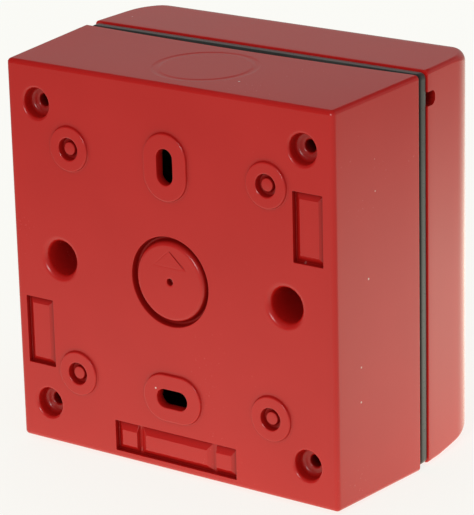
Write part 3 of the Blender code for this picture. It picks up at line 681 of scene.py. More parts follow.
# ================================================================= back box
BOX_DEPTH = 30.3
BOX_WALL = 2.5
BOX_FLOOR = 3.0                                 # depth of the inner face of the back panel
BOX_HALF_WIDTH, BOX_HALF_HEIGHT = 42.95, 44.4   # at the wall side
WIDTH_DRAFT, HEIGHT_DRAFT = 1.75, 0.775         # gained by each half size up to the rim
BOX_CORNER = 1.0
BOX_EDGE = 1.0                                  # rounding round the back panel
TOP_SAG, SAG_POWER = 0.42, 1.3                  # the top wall sinks by this much at the rim
SAG_HALF_SPAN = 43.0

# (inset, depth): the outer side, over the rim and down the inner side to the floor
BOX_SIDE = arc((BOX_EDGE, 0.0), (0.0, BOX_EDGE), 6)
BOX_SIDE += [(0.0, depth) for depth in (4.0, 8.0, 12.0, 16.0, 20.0, 24.0, 27.0)]
BOX_SIDE += [
    (0.0, 30.12), (0.05, 30.25), (0.16, BOX_DEPTH), (BOX_WALL - 0.3, BOX_DEPTH),
    (BOX_WALL - 0.09, 30.21), (BOX_WALL, 30.0), (BOX_WALL, 16.0), (BOX_WALL, 3.4),
    (BOX_WALL + 0.08, 3.12), (BOX_WALL + 0.28, BOX_FLOOR)]

# (radius, depth): corner counterbore, through the boss to its rim end and back to the floor
CORNER_BORE = [(4.12 - 0.74 * math.sin(math.radians(a)), 0.72 * (1 - math.cos(math.radians(a))))
               for a in range(0, 91, 11)]
CORNER_BORE += [(3.36, 1.3), (3.3, 2.1)]
CORNER_BORE += [(3.3 - 0.9 * (1 - math.cos(math.radians(a))),
                 2.1 + 0.95 * math.sin(math.radians(a))) for a in range(15, 91, 15)]
CORNER_BORE += [
    (2.0, 3.1), (1.75, 3.12), (1.55, 3.2), (1.4, 3.36), (1.33, 3.6), (1.3, 5.0), (1.3, 12.0),
    (1.6, 12.5), (1.6, 28.0), (1.85, 28.3), (4.35, 28.3), (4.6, 28.05), (4.6, 3.3),
    (4.68, 3.08), (4.88, BOX_FLOOR)]

# (radius, depth): raised round pad with a ring groove and a centre post
PAD_PROFILE = [
    (5.36, 0.0), (5.24, -0.04), (5.16, -0.14), (5.12, -0.3), (5.08, -0.46), (5.0, -0.58),
    (4.88, -0.64), (4.74, -0.66), (2.86, -0.66), (2.7, -0.63), (2.58, -0.54), (2.53, -0.38),
    (2.48, 0.85), (2.38, 1.0), (2.2, 1.05), (1.8, 1.05), (1.62, 1.0), (1.56, 0.85),
    (1.52, 0.3), (1.48, 0.14), (1.38, 0.03), (1.24, 0.0)]

# (radius, depth): blind side core, and the boss on its other side
CORE_PROFILE = arc((5.4, 0.0), (3.98, 1.42), 10)
CORE_PROFILE += [(3.96, 3.0), (3.93, 6.0), (3.88, 13.3), (3.8, 13.75), (3.5, 14.0)]
BOSS_PROFILE = [
    (6.5, BOX_FLOOR), (6.28, 3.08), (6.2, 3.3), (6.2, 28.05), (5.95, 28.3), (2.05, 28.3),
    (1.8, 28.05), (1.75, 19.6), (1.5, 19.3)]

# Raised pads and the slots through them, each as (left, right, low, high)
SLOTTED_PADS = [
    ((-5.65, 5.65, 18.4, 33.6), (-2.07, 2.07, 22.08, 30.12)),
    ((-7.7, 7.7, -32.5, -21.5), (-4.07, 4.07, -29.22, -24.98))]
# (offset, depth)
SLOTTED_PAD_EDGE = [
    (0.27, 0.0), (0.12, -0.04), (0.03, -0.16), (-0.01, -0.42), (-0.08, -0.57),
    (-0.22, -0.65), (-0.37, -0.66)]
SLOT_PROFILE = [
    (0.24, -0.66), (0.09, -0.61), (0.0, -0.46), (-0.03, 0.6), (-0.03, 1.55), (0.05, 1.68),
    (0.2, 1.7), (2.2, 1.7), (2.33, 1.76), (2.38, 1.9), (2.4, 2.85), (2.48, 2.96),
    (2.6, BOX_FLOOR)]

# (radius, depth): ring groove round the knock-out, and the pilot dot at its centre
KNOCKOUT_GROOVE = [
    (10.42, 0.0), (10.33, 0.02), (10.26, 0.09), (10.22, 0.22), (10.1, 1.55), (10.02, 1.75),
    (9.88, 1.87), (9.68, 1.92), (9.48, 1.87), (9.34, 1.75), (9.26, 1.5), (9.17, 1.0),
    (9.08, 0.72), (8.94, 0.46), (8.76, 0.25), (8.54, 0.1), (8.32, 0.02), (8.1, 0.0)]
PILOT_DOT = [(1.3, 0.0), (0.95, 0.0), (0.84, 0.05), (0.79, 0.16), (0.74, 1.5), (0.4, 1.75)]
POINTER_APEX_Z, POINTER_BASE_Z, POINTER_HALF_WIDTH = 7.15, 3.35, 4.2

# Outline (left, right, low, high), groove depth, depth of the block crowns, and the blocks as
# (crown left, right, low, high) with the runs of their four slopes in the same order
POCKETS = [
    ((-40.0, -32.5, 10.2, 25.9), 1.3, 0.6,
     [((-38.6, -33.9, 11.9, 24.2), (1.25, 1.25, 1.55, 1.55))]),
    ((32.85, 40.4, -26.15, -10.25), 1.2, 0.35,
     [((34.4, 38.85, -24.55, -11.85), (1.4, 1.4, 1.5, 1.5))]),
    ((-16.45, 16.45, -42.6, -35.4), 1.3, 0.4,
     [((10.85, 14.75, -41.0, -37.6), (0.3, 1.55, 1.45, 2.0)),
      ((-8.2, 8.2, -41.0, -37.6), (1.75, 1.75, 1.45, 2.0)),
      ((-14.75, -10.85, -41.0, -37.6), (1.55, 0.3, 1.45, 2.0))])]


def box_outline(inset, depth):
    """Outline of the drafted box; its long sides are split so that the top one can sag."""
    part = depth / BOX_DEPTH
    half_width = BOX_HALF_WIDTH + WIDTH_DRAFT * part
    half_height = BOX_HALF_HEIGHT + HEIGHT_DRAFT * part
    corners = rounded_rect(-half_width + inset, half_width - inset, -half_height + inset,
                           half_height - inset, max(BOX_CORNER - inset * 0.85, 0.12), 8)
    points = []
    for (x, z), (next_x, _) in zip(corners, corners[1:] + corners[:1]):
        points.append((x, z))
        if abs(next_x - x) > 60:
            points += [(x + (next_x - x) * i / 40, z) for i in range(1, 40)]
    top = max(z for _, z in points)
    sag = TOP_SAG * part ** SAG_POWER
    return [(x, z - sag * (1 - (x / SAG_HALF_SPAN) ** 2)
             if z > top - 0.05 and abs(x) < SAG_HALF_SPAN else z) for x, z in points]


def pointer_outline(grow):
    """The pointer's triangle, grown by an offset from its incentre."""
    corners = [(0.0, POINTER_APEX_Z), (-POINTER_HALF_WIDTH, POINTER_BASE_Z),
               (POINTER_HALF_WIDTH, POINTER_BASE_Z)]
    opposite = [math.dist(corners[1], corners[2]), math.dist(corners[0], corners[2]),
                math.dist(corners[0], corners[1])]
    total = sum(opposite)
    centre_x = sum(side * x for side, (x, _) in zip(opposite, corners)) / total
    centre_z = sum(side * z for side, (_, z) in zip(opposite, corners)) / total
    inradius = abs((POINTER_APEX_Z - POINTER_BASE_Z) * POINTER_HALF_WIDTH) / (total / 2)
    scale = 1 + grow / inradius
    grown = [(centre_x + (x - centre_x) * scale, centre_z + (z - centre_z) * scale)
             for x, z in corners]
    return split_sides(grown, 6)


def pointer_depth(x, z):
    """Engraved depth: faint along the base, deepest on the left stroke."""
    if z < 3.6:
        return 0.03
    return 0.2 if x < -0.1 else 0.05


def knockout(box):
    """Ring groove round a disc with an engraved pointer and a pilot dot."""
    panel_hole, disc = box.chain(round_at(0, 0, 120), KNOCKOUT_GROOVE)
    engraving = [(0.25, 0.0), (0.1, pointer_depth), (-0.08, pointer_depth), (-0.22, 0.0)]
    pointer, pointer_inside = box.chain(pointer_outline, engraving)
    box.fill(pointer_inside)
    dot, dot_end = box.chain(round_at(0, 0, 32), PILOT_DOT)
    box.cap(dot_end)
    box.fill(disc, [pointer, dot])
    return panel_hole


def pocket(box, outline, wall, sunk, blocks):
    """An outline groove whose inner blocks have sloping sides."""
    groove = [(0.07, 0.0), (0.02, 0.02), (0.0, 0.07), (-0.04, wall - 0.05), (-0.09, wall)]
    panel_hole, bottom = box.chain(rect_at(*outline, 0.2, 3), groove)
    slope = [(1.0, wall), (0.92, wall - 0.05), (0.1, sunk + 0.09), (0.04, sunk + 0.02),
             (0.0, sunk)]
    feet = []
    for (left, right, low, high), runs in blocks:
        def block_outline(part):
            return rounded_rect(left - runs[0] * part, right + runs[1] * part,
                                low - runs[2] * part, high + runs[3] * part,
                                0.06 + 0.06 * part, 3)
        foot, crown = box.chain(block_outline, slope)
        feet.append(foot)
        box.fill(crown)
    box.fill(bottom, feet, strip=0)
    return panel_hole


def entry_ring():
    """A torus that leaves the faint ring of a 20 mm entry on the top wall, along its draft."""
    depth, radius, wire, sink = 15.5, 11.0, 5.0, 0.11
    work = bmesh.new()
    loops = []
    for i in range(120):
        around = 2 * math.pi * i / 120
        turns = [2 * math.pi * k / 72 for k in range(72)]
        loops.append([work.verts.new(((radius + wire * math.cos(turn)) * math.cos(around) * MM,
                                      (radius + wire * math.cos(turn)) * math.sin(around) * MM,
                                      wire * math.sin(turn) * MM)) for turn in turns])
    for first, second in zip(loops, loops[1:] + loops[:1]):
        bridge(work, first, second)
    mesh = to_mesh(work, "ring_tool")
    part = depth / BOX_DEPTH
    sag = TOP_SAG * part ** SAG_POWER * 0.96
    rise = HEIGHT_DRAFT - TOP_SAG * SAG_POWER * part ** (SAG_POWER - 1)
    z = BOX_HALF_HEIGHT + HEIGHT_DRAFT * part - sag
    mesh.transform(Matrix.Translation((0, 0, (wire - sink) * MM)))
    mesh.transform(Matrix.Rotation(-math.atan(rise / BOX_DEPTH), 4, "X"))
    mesh.transform(Matrix.Translation((0, -depth * MM, z * MM)))
    return mesh


def build_back_box():
    box = Shell("back_box_shell")
    rings = [box.ring(box_outline(inset, depth), depth) for inset, depth in BOX_SIDE]
    box.skin(rings)
    panel_holes, floor_holes = [], []
    for side_x in (-1, 1):
        for side_z in (-1, 1):
            top, bottom = box.chain(round_at(side_x * CORNER, side_z * CORNER, 48), CORNER_BORE)
            panel_holes.append(top)
            floor_holes.append(bottom)
            top, bottom = box.chain(round_at(side_x * PAD, side_z * PAD, 56), PAD_PROFILE)
            panel_holes.append(top)
            box.cap(bottom)
        for count, profile, holes in ((56, CORE_PROFILE, panel_holes),
                                      (48, BOSS_PROFILE, floor_holes)):
            top, bottom = box.chain(round_at(side_x * PITCH, 0.0, count), profile)
            holes.append(top)
            box.cap(bottom)
    for pad, slot in SLOTTED_PADS:
        top, crown = box.chain(stadium_at(*pad), SLOTTED_PAD_EDGE)
        panel_holes.append(top)
        slot_top, bottom = box.chain(stadium_at(*slot), SLOT_PROFILE)
        box.fill(crown, [slot_top])
        floor_holes.append(bottom)
    panel_holes.append(knockout(box))
    panel_holes += [pocket(box, *row) for row in POCKETS]
    box.fill(rings[0], panel_holes)
    box.fill(rings[-1], floor_holes)
    piece = carve(box.object(), [entry_ring()], angle=32.0)
    place(piece, "casing", "red_plastic", RED, node="back_box")


# ================================================================= seal
# (offset, depth) round the section, from its inner edge out and back
SEAL_PROFILE = [
    (-1.2, 30.42), (-0.95, 30.5), (-0.9, 30.7), (-0.9, 31.45), (-0.82, 31.66), (-0.6, 31.76),
    (-0.3, 31.8), (-0.1, 31.88), (-0.02, 32.05), (0.0, 32.6), (0.0, 33.5), (-0.04, 33.82),
    (-0.16, 33.98), (-0.36, 34.04), (-2.7, 34.04), (-2.95, 33.9), (-3.05, 33.6),
    (-3.05, 30.75), (-2.95, 30.5), (-2.7, 30.42)]


def seal_outline(grow):
    return rounded_rect(-44.15 - grow, 44.15 + grow, -44.575 - grow, 44.85 + grow,
                        max(1.3 + grow, 0.2), 10)


def build_gasket():
    seal = Shell("box_gasket_ring")
    first, last = seal.chain(seal_outline, SEAL_PROFILE)
    seal.skin([last, first])
    place(seal.object(angle=50.0), "casing", "seal_rubber", SEAL, node="box_gasket")


# ================================================================= front cover
COVER_RIM, COVER_FRONT = 34.15, 59.5            # depths of the open rim and the front face
COVER_WALL, FRONT_THICKNESS = 2.5, 2.8
COVER_INSIDE = COVER_FRONT - FRONT_THICKNESS
COVER_HALF_WIDTH, COVER_TOP, COVER_BOTTOM = 44.5, 45.3, -44.65
SIDE_DRAFT, BOTTOM_DRAFT = math.radians(1.85), math.radians(5.9)
BOTTOM_DRAFT_START = 39.0                       # depth
SIDE_ROLL, TOP_ROLL, BOTTOM_ROLL = 12.3, 6.6, 7.6   # roundings into the front face
INNER_ROLL = 9.0                                # depth run of the close inner stations
CORNER_START = 44.0                             # depth where the corners begin to open
WINDOW_HALF = 21.5

OUTER_DEPTHS = [36.0, 39.0, 41.0, 44.0, 46.0, COVER_FRONT - SIDE_ROLL]
OUTER_DEPTHS += [COVER_FRONT - SIDE_ROLL + SIDE_ROLL * math.sin(math.radians(90 * i / 26))
                 for i in range(1, 26)] + [COVER_FRONT]
INNER_DEPTHS = [38.0, 42.0, 46.0, COVER_INSIDE - INNER_ROLL]
INNER_DEPTHS += [COVER_INSIDE - INNER_ROLL + INNER_ROLL * math.sin(math.radians(90 * i / 12))
                 for i in range(1, 12)] + [COVER_INSIDE]

# (offset, depth) of the window, (radius, depth) of the key hole, (offset, depth) of the label
WINDOW_PROFILE = (arc((3.5, COVER_FRONT), (2.7, 59.2), 5) + arc((0.55, 57.75), (0.02, 57.2), 4)
                  + [(0.0, 56.85), (0.15, COVER_INSIDE)])
KEY_HOLE_PROFILE = arc((5.3, COVER_FRONT), (4.62, 58.82), 6)
KEY_HOLE_PROFILE += [(4.6, 57.6), (4.6, 56.9), (4.75, COVER_INSIDE)]
LABEL_PROFILE = [(0.12, COVER_FRONT), (0.03, 59.46), (0.0, 59.36), (-0.04, 59.3), (-0.16, 59.27)]
# (radius, depth)
LED_PORT = [
    (0, 60.6), (2.5, 60.6), (2.38, 59.62), (2.18, 59.42), (2.0, 59.24), (1.92, 59.0),
    (1.9, 58.6), (1.9, 56.0), (0, 56.0)]
LENS_PROFILE = [
    (0, 59.48), (0.35, 59.46), (0.75, 59.36), (1.1, 59.18), (1.4, 58.9), (1.6, 58.5),
    (1.68, 58.0), (1.68, 57.0), (0, 57.0)]


def cover_ring(shell, depth, inset, extra=0.0):
    """A ring of the cover's section; the inset marks its inner skin, extra trims the outline."""
    end = COVER_INSIDE if inset else COVER_FRONT

    def roll(radius):
        radius = max(radius - inset, 2.0)
        into = depth - (end - radius)
        return radius - math.sqrt(max(radius * radius - into * into, 0.0)) if into > 0 else 0.0

    half_width = (COVER_HALF_WIDTH - (depth - COVER_RIM) * math.tan(SIDE_DRAFT)
                  - roll(SIDE_ROLL) - inset)
    top = COVER_TOP - roll(TOP_ROLL) - inset
    bottom = (COVER_BOTTOM + max(depth - BOTTOM_DRAFT_START, 0.0) * math.tan(BOTTOM_DRAFT)
              + roll(BOTTOM_ROLL) + inset)
    opening = max((depth - CORNER_START) / (COVER_FRONT - CORNER_START), 0.0)
    corner = 0.95 + 4.2 * opening ** 2 + inset * 0.3
    outline = rounded_rect(-half_width + extra, half_width - extra, bottom + extra, top - extra,
                           max(corner - extra, 0.3), 14)
    return shell.ring(outline, depth)


def build_front_cover():
    cover = Shell("front_cover_shell")
    outer = [cover_ring(cover, COVER_RIM, 0.0, 0.22), cover_ring(cover, 34.2, 0.0, 0.07),
             cover_ring(cover, 34.35, 0.0)]
    outer += [cover_ring(cover, depth, 0.0) for depth in OUTER_DEPTHS]
    cover.skin(outer)
    inner = [cover_ring(cover, COVER_RIM, COVER_WALL, -0.2), cover_ring(cover, 34.35, COVER_WALL)]
    inner += [cover_ring(cover, depth, COVER_WALL) for depth in INNER_DEPTHS]
    cover.skin(inner)
    cover.skin([outer[0], inner[0]])
    window = rect_at(-WINDOW_HALF, WINDOW_HALF, WINDOW_Z - WINDOW_HALF, WINDOW_Z + WINDOW_HALF,
                     1.5, 8)
    window_front, window_back = cover.chain(window, WINDOW_PROFILE)
    key_front, key_back = cover.chain(round_at(0, KEY_Z, 72), KEY_HOLE_PROFILE)
    label, label_floor = cover.chain(rect_at(-18.0, 18.0, 29.6, 35.4, 1.2, 8), LABEL_PROFILE)
    cover.fill(label_floor)
    cover.fill(outer[-1], [window_front, key_front, label])
    cover.fill(inner[-1], [window_back, key_back])
    piece = cover.object()

    tools = [turned_mesh("port_tool", depth_axis(LED_X, LED_Z), LED_PORT, 40)]
    hooks = []
    for side in (-1, 1):
        tools.append(block_mesh("notch_tool", x=sorted((side * 40.0, side * 46.5)),
                                depth=(32.0, 37.3), z=(37.35, 40.55), edge=1.35, segments=6))
    piece = carve(piece, tools, angle=32.0)
    for side in (-1, 1):
        span = sorted((side * 17.5, side * 24.5))
        hooks += [block_mesh("hook_root", x=span, depth=(34.7, 38.6), z=(39.2, 43.2),
                             edge=0.35, segments=2),
                  block_mesh("hook_arm", x=span, depth=(29.6, 36.6), z=(38.9, 40.4),
                             edge=0.35, segments=2)]
    piece = carve(piece, hooks, angle=32.0, operation="UNION")
    place(piece, "cover", "red_plastic", COVER_RED, node="front_cover")
    lens = turned("indicator_lens_dome", LED_X, LED_Z, LENS_PROFILE, 48)
    place(lens, "cover", "led_red", LENS, node="indicator_lens")


# ================================================================= operating element
ELEMENT_FRONT = 54.9    # depth
# (offset, depth)
ELEMENT_PROFILE = [
    (-0.5, 52.7), (-0.15, 52.76), (0.0, 52.95), (0.0, 54.4), (-0.06, 54.68), (-0.22, 54.85),
    (-0.5, ELEMENT_FRONT)]


def build_element():
    """A plate with two inward-pointing triangles and a dot printed on its front."""
    plate = Shell("operating_element_plate")
    outline = rect_at(-23.4, 23.4, -21.4, 25.5, 1.2, 8)
    back, front = plate.chain(outline, ELEMENT_PROFILE)
    plate.fill(back)
    marks = []
    for side in (-1, 1):
        arrow = [(side * 5.2, WINDOW_Z), (side * 13.6, WINDOW_Z + 4.9),
                 (side * 13.6, WINDOW_Z - 4.9)]
        marks.append(plate.ring(split_sides(arrow, 8), ELEMENT_FRONT))
    marks.append(plate.ring(circle(0, WINDOW_Z, 2.3, 48), ELEMENT_FRONT))
    plate.fill(front, marks)
    for mark in marks:
        plate.fill(mark, material=1)
    place(plate.object(), "element", "element_face", FACE, MARK, node="operating_element")


# ================================================================= pieces that keep their CAD shape
# Node, body, slot, material, edge rounding, whether overlapping roundings are clamped
KEPT_SHAPES = (
    ("base_plate", "casing", "black_plastic", BLACK, 0.25, False),
    ("mechanism_frame", "casing", "white_plastic", WHITE, 0.25, False),
    ("circuit_board", "casing", "circuit_laminate", BOARD, 0.08, True),
    ("terminal_block", "casing", "terminal_green", GREEN, 0.18, True),
    ("switch_body", "casing", "black_plastic", BLACK, 0.15, True),
    ("switch_plunger", "plunger", "plunger_red", PLUNGER, 0.12, True),
    ("switch_lever", "lever", "zinc_steel", STRIP, 0.06, True),
    ("element_carrier", "element", "black_plastic", BLACK, 0.25, True),
    ("drop_carriage", "carriage", "black_plastic", BLACK, 0.25, True),
    ("indicator_flag", "carriage", "flag_yellow", YELLOW, 0.15, True),
    ("cover_latch", "latch", "black_plastic", BLACK, 0.2, True),
    ("barrel_clip", "key", "spring_steel", SPRING, 0.06, True))


def build_kept_shapes():
    for node, body, slot, material, edge, clamp in KEPT_SHAPES:
        place(refined(node, edge, clamp), body, slot, material)


# ================================================================= screws
# seat is the depth under the head; toward is 1 where the head points to the front, -1 to the wall
CASE_SCREW = dict(seat=31.3, toward=1, head=2.9, head_height=1.9, shank=1.3, length=17.0)
MODULE_SCREW = dict(seat=31.3, toward=1, head=3.0, head_height=2.0, shank=1.5, length=12.5)
BOARD_SCREW = dict(seat=21.7, toward=-1, head=2.3, head_height=1.5, shank=0.9, length=6.6,
                   pitch=0.45)
SWITCH_SCREW = dict(seat=44.1, toward=1, head=1.9, head_height=0.9, shank=0.65, length=8.5,
                    pitch=0.4)
TERMINAL_SCREW = dict(seat=14.6, toward=-1, head=2.2, head_height=1.3, shank=1.1, length=1.2,
                      pitch=0.4, slot="terminal_brass", material=BRASS)


def screw(node, x, z, seat, toward, head, head_height, shank, length, pitch=0.6,
          slot="zinc_steel", material=ZINC):
    """A slotted pan-head screw with a grooved shank; head and shank are radii."""
    top = seat + toward * head_height
    profile = [
        (0.0, top), (head * 0.5, top - toward * head_height * 0.04),
        (head * 0.78, top - toward * head_height * 0.16),
        (head * 0.94, top - toward * head_height * 0.36),
        (head, top - toward * head_height * 0.6), (head, seat + toward * 0.08),
        (head - 0.08, seat), (shank, seat)]
    thread = seat - toward * 0.3
    tip = seat - toward * length
    for k in range(int((length - 0.3 - shank) / (pitch / 2))):
        profile.append((shank if k % 2 == 0 else shank * 0.82, thread - toward * k * pitch / 2))
    profile += [(shank * 0.8, tip + toward * shank * 0.7), (shank * 0.3, tip), (0.0, tip)]
    piece = turned(f"{node}_piece", x, z, profile, 40)
    cutter = block_mesh("slot", x=(x - head * 1.3, x + head * 1.3),
                        depth=sorted((top - toward * head_height * 0.45, top + toward * 1.0)),
                        z=(z - head * 0.13, z + head * 0.13), edge=0.04, segments=1)
    place(carve(piece, [cutter], angle=30.0), "casing", slot, material, node=node)


def build_screws():
    for number, (side_x, side_z) in enumerate(((-1, 1), (1, 1), (-1, -1), (1, -1)), 1):
        screw(f"case_screw_{number}", side_x * CORNER, side_z * CORNER, **CASE_SCREW)
    for word, side in SIDES.items():
        screw(f"module_screw_{word}", side * PITCH, 0.0, **MODULE_SCREW)
        screw(f"board_screw_{word}", side * 18.0, 28.0, **BOARD_SCREW)
        screw(f"switch_screw_{word}", side * 4.75, -23.6, **SWITCH_SCREW)
    for number, x in enumerate((-15.0, -5.0, 5.0, 15.0), 1):
        screw(f"terminal_screw_{number}", x, -16.5, **TERMINAL_SCREW)


# ================================================================= other turned pieces
# (radius, depth)
LED_PROFILE = [
    (0, 28.35), (0.5, 28.25), (0.95, 27.95), (1.28, 27.45), (1.42, 26.8), (1.45, 26.2),
    (1.45, 24.75), (1.72, 24.7), (1.75, 24.1), (1.7, 24.0), (0, 24.0)]
PIPE_PROFILE = [
    (0, 56.25), (0.7, 56.2), (1.15, 56.0), (1.38, 55.6), (1.4, 55.2), (1.4, 34.0),
    (2.15, 33.85), (2.22, 33.7), (2.22, 31.6), (2.12, 31.48), (1.4, 31.42), (1.4, 29.0),
    (1.3, 28.9), (0, 28.9)]
CAPACITOR_PROFILE = [
    (0, 21.6), (3.05, 21.6), (3.2, 21.4), (3.2, 20.6), (3.05, 20.3), (3.05, 20.0),
    (3.2, 19.7), (3.2, 12.9), (3.05, 12.4), (2.7, 12.22), (2.3, 12.3), (0, 12.35)]
BARREL_PROFILE = [
    (0, 55.9), (3.7, 55.9), (3.95, 55.85), (4.15, 55.7), (4.25, 55.45), (4.25, 53.7),
    (4.15, 53.6), (3.45, 53.6), (3.4, 53.5), (3.4, 52.3), (3.45, 52.2), (4.15, 52.2),
    (4.25, 52.1), (4.25, 49.0), (4.15, 48.9), (1.5, 48.9), (1.4, 48.8), (1.4, 44.1),
    (1.2, 43.9), (0, 43.9)]
CAM_RIM = [(3.95, 45.5), (4.12, 45.56), (4.2, 45.72), (4.2, 47.78), (4.12, 47.94), (3.95, 48.0)]
CAM_BORE = [(1.8, 45.5), (1.7, 45.6), (1.7, 47.9), (1.8, 48.0)]


def build_board_parts():
    led = turned("status_led_dome", LED_X, LED_Z, LED_PROFILE, 40)
    place(led, "casing", "led_red", LENS, node="status_led")
    pipe = turned("light_pipe_rod", LED_X, LED_Z, PIPE_PROFILE, 40)
    place(pipe, "casing", "clear_pipe", PIPE, node="light_pipe")
    can = turned("surge_capacitor_can", 13.0, 8.0, CAPACITOR_PROFILE, 48)
    place(can, "casing", "capacitor_sleeve", SLEEVE, node="surge_capacitor")


def build_key():
    """Barrel with its key slot, the off-centre cam behind it, and the seal in its groove."""
    barrel = turned("key_barrel_turned", 0.0, KEY_Z, BARREL_PROFILE, 64)
    cutters = [block_mesh("slot", x=(-2.9, 2.9), depth=(51.5, 57.0),
                          z=(KEY_Z - 0.8, KEY_Z + 0.8), edge=0.12, segments=2),
               block_mesh("ward", x=(-0.8, 0.8), depth=(53.0, 57.0),
                          z=(KEY_Z - 2.0, KEY_Z + 0.4), edge=0.1, segments=1)]
    barrel = carve(barrel, cutters, angle=30.0)
    place(barrel, "key", "black_plastic", BLACK, node="key_barrel")

    cam = Shell("key_cam_disc")
    rim_back, rim_front = cam.chain(round_at(-1.6, KEY_Z, 64), CAM_RIM)
    bore_back, bore_front = cam.chain(round_at(0.0, KEY_Z, 32), CAM_BORE)
    cam.fill(rim_back, [bore_back])
    cam.fill(rim_front, [bore_front])
    place(cam.object(), "key", "cam_metal", CAST, node="key_cam")

    path = [(x, 52.9, z) for x, z in circle(0.0, KEY_Z, 4.02, 72)]
    seal = sweep("barrel_seal_ring", path, radius=0.5, closed=True)
    place(seal, "key", "seal_rubber", RUBBER_DARK, node="barrel_seal")


# ================================================================= resistors, wires and springs
RESISTOR_DEPTH = 19.3
# (radius, place along X)
RESISTOR_PROFILE = [
    (0.0, -3.35), (0.32, -3.35), (0.85, -3.3), (1.2, -3.05), (1.32, -2.6), (1.3, -2.1),
    (1.12, -1.75), (1.05, -1.45), (1.05, -1.0), (1.05, -0.7), (1.05, -0.1), (1.05, 0.2),
    (1.05, 0.75), (1.05, 1.05), (1.05, 1.45), (1.12, 1.75), (1.3, 2.1), (1.32, 2.6),
    (1.2, 3.05), (0.85, 3.3), (0.32, 3.35), (0.0, 3.35)]
LACQUER, DARK_BAND, RED_BAND, GOLD_BAND = 1, 2, 3, 4    # material indices on a resistor
# (x, depth): a lead's way out along X and its bend towards the board
LEAD_PATH = [(3.3, RESISTOR_DEPTH)] + arc((5.5, RESISTOR_DEPTH), (6.45, RESISTOR_DEPTH + 0.95), 6)
LEAD_PATH += [(6.45, 21.5)]
# (share of the wire's own x, depth, z)
WIRE_PATH = [
    (1.0, 40.6, -26.2), (1.0, 40.6, -28.6), (1.05, 40.0, -31.2), (1.1, 37.6, -32.7),
    (1.2, 34.0, -33.0), (1.3, 27.0, -33.0), (1.3, 24.0, -33.0)]


def resistor(node, z, slot, lacquer, bands):
    """A banded body along X with two bent leads; a band is (start x, end x, material index)."""
    indices = []
    for (_, start), (_, end) in zip(RESISTOR_PROFILE, RESISTOR_PROFILE[1:]):
        middle = (start + end) / 2
        indices.append(next((index for low, high, index in bands if low <= middle <= high),
                            LACQUER))
    centre = Vector((0.0, -RESISTOR_DEPTH, z)) * MM
    matrix = Matrix.Translation(centre) @ Matrix.Rotation(math.radians(90), 4, "Y")
    name = node + "_body"
    body = dress(name, turned_mesh(name, matrix, RESISTOR_PROFILE, 32, indices), angle=30.0)
    place(body, "casing", slot, SPRING, lacquer, BAND_DARK, BAND_RED, BAND_GOLD, node=node)
    for tag, side in (("a", -1), ("b", 1)):
        path = [(side * x, depth, z) for x, depth in LEAD_PATH]
        lead = sweep(f"{node}_lead_{tag}", path, radius=0.3, sides=12)
        place(lead, "casing", "zinc_steel", ZINC)


def build_resistors():
    resistor("resistor_1", -2.0, "resistor_film_a", LACQUER_A,
             [(-2.8, -2.2, RED_BAND), (-1.0, -0.6, DARK_BAND), (0.2, 0.7, RED_BAND),
              (2.2, 2.8, GOLD_BAND)])
    resistor("resistor_2", 4.5, "resistor_film_b", LACQUER_B,
             [(-2.8, -2.2, DARK_BAND), (-1.0, -0.6, RED_BAND), (0.2, 0.7, DARK_BAND),
              (2.2, 2.8, GOLD_BAND)])


def spline(before, start, end, after, part):
    """Catmull-Rom value at a part of the way from start to end."""
    return 0.5 * (2 * start + (end - before) * part
                  + (2 * before - 5 * start + 4 * end - after) * part * part
                  + (3 * start - before - 3 * end + after) * part ** 3)


def smooth_path(points):
    """Catmull-Rom through (x, depth, z) points, eight steps a span."""
    padded = [points[0], *points, points[-1]]
    path = []
    for span in zip(padded, padded[1:], padded[2:], padded[3:]):
        for i in range(8):
            path.append(tuple(spline(*values, i / 8) for values in zip(*span)))
    path.append(points[-1])
    return path


def build_wires():
    for node, x, material, slot in (("switch_wire_red", -3.5, WIRE_RED, "wire_red"),
                                    ("switch_wire_black", 3.5, WIRE_BLACK, "wire_black")):
        path = smooth_path([(x * share, depth, z) for share, depth, z in WIRE_PATH])
        place(sweep(node + "_run", path, radius=0.64), "casing", slot, material, node=node)


def spring(node, x, depth, low, high, radius, wire, turns, other):
    """A coil along Z, stretched between the casing and another body."""
    path = []
    steps = int(turns * 36)
    for i in range(steps + 1):
        part = i / steps
        # The coils lie closer together at the ends.
        eased = part * part * (3 - 2 * part) * 0.35 + part * 0.65
        angle = 2 * math.pi * turns * part
        path.append((x + radius * math.cos(angle), depth + radius * math.sin(angle),
                     low + (high - low) * eased))
    piece = sweep(node + "_coil", path, wire, sides=12, weighted=False)
    piece.data.materials.append(SPRING)
    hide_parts(node)
    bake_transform(piece, "casing", other, start=(x * MM, -depth * MM, high * MM),
             end=(x * MM, -depth * MM, low * MM))


def build_springs():
    for word, side in SIDES.items():
        spring(f"drive_spring_{word}", side * 19.8, depth=42.2, low=20.75, high=33.05,
               radius=2.3, wire=0.35, turns=5, other="carriage")
    spring("latch_spring", 0.0, depth=46.5, low=-22.45, high=-18.25, radius=1.25, wire=0.25,
           turns=3.5, other="latch")


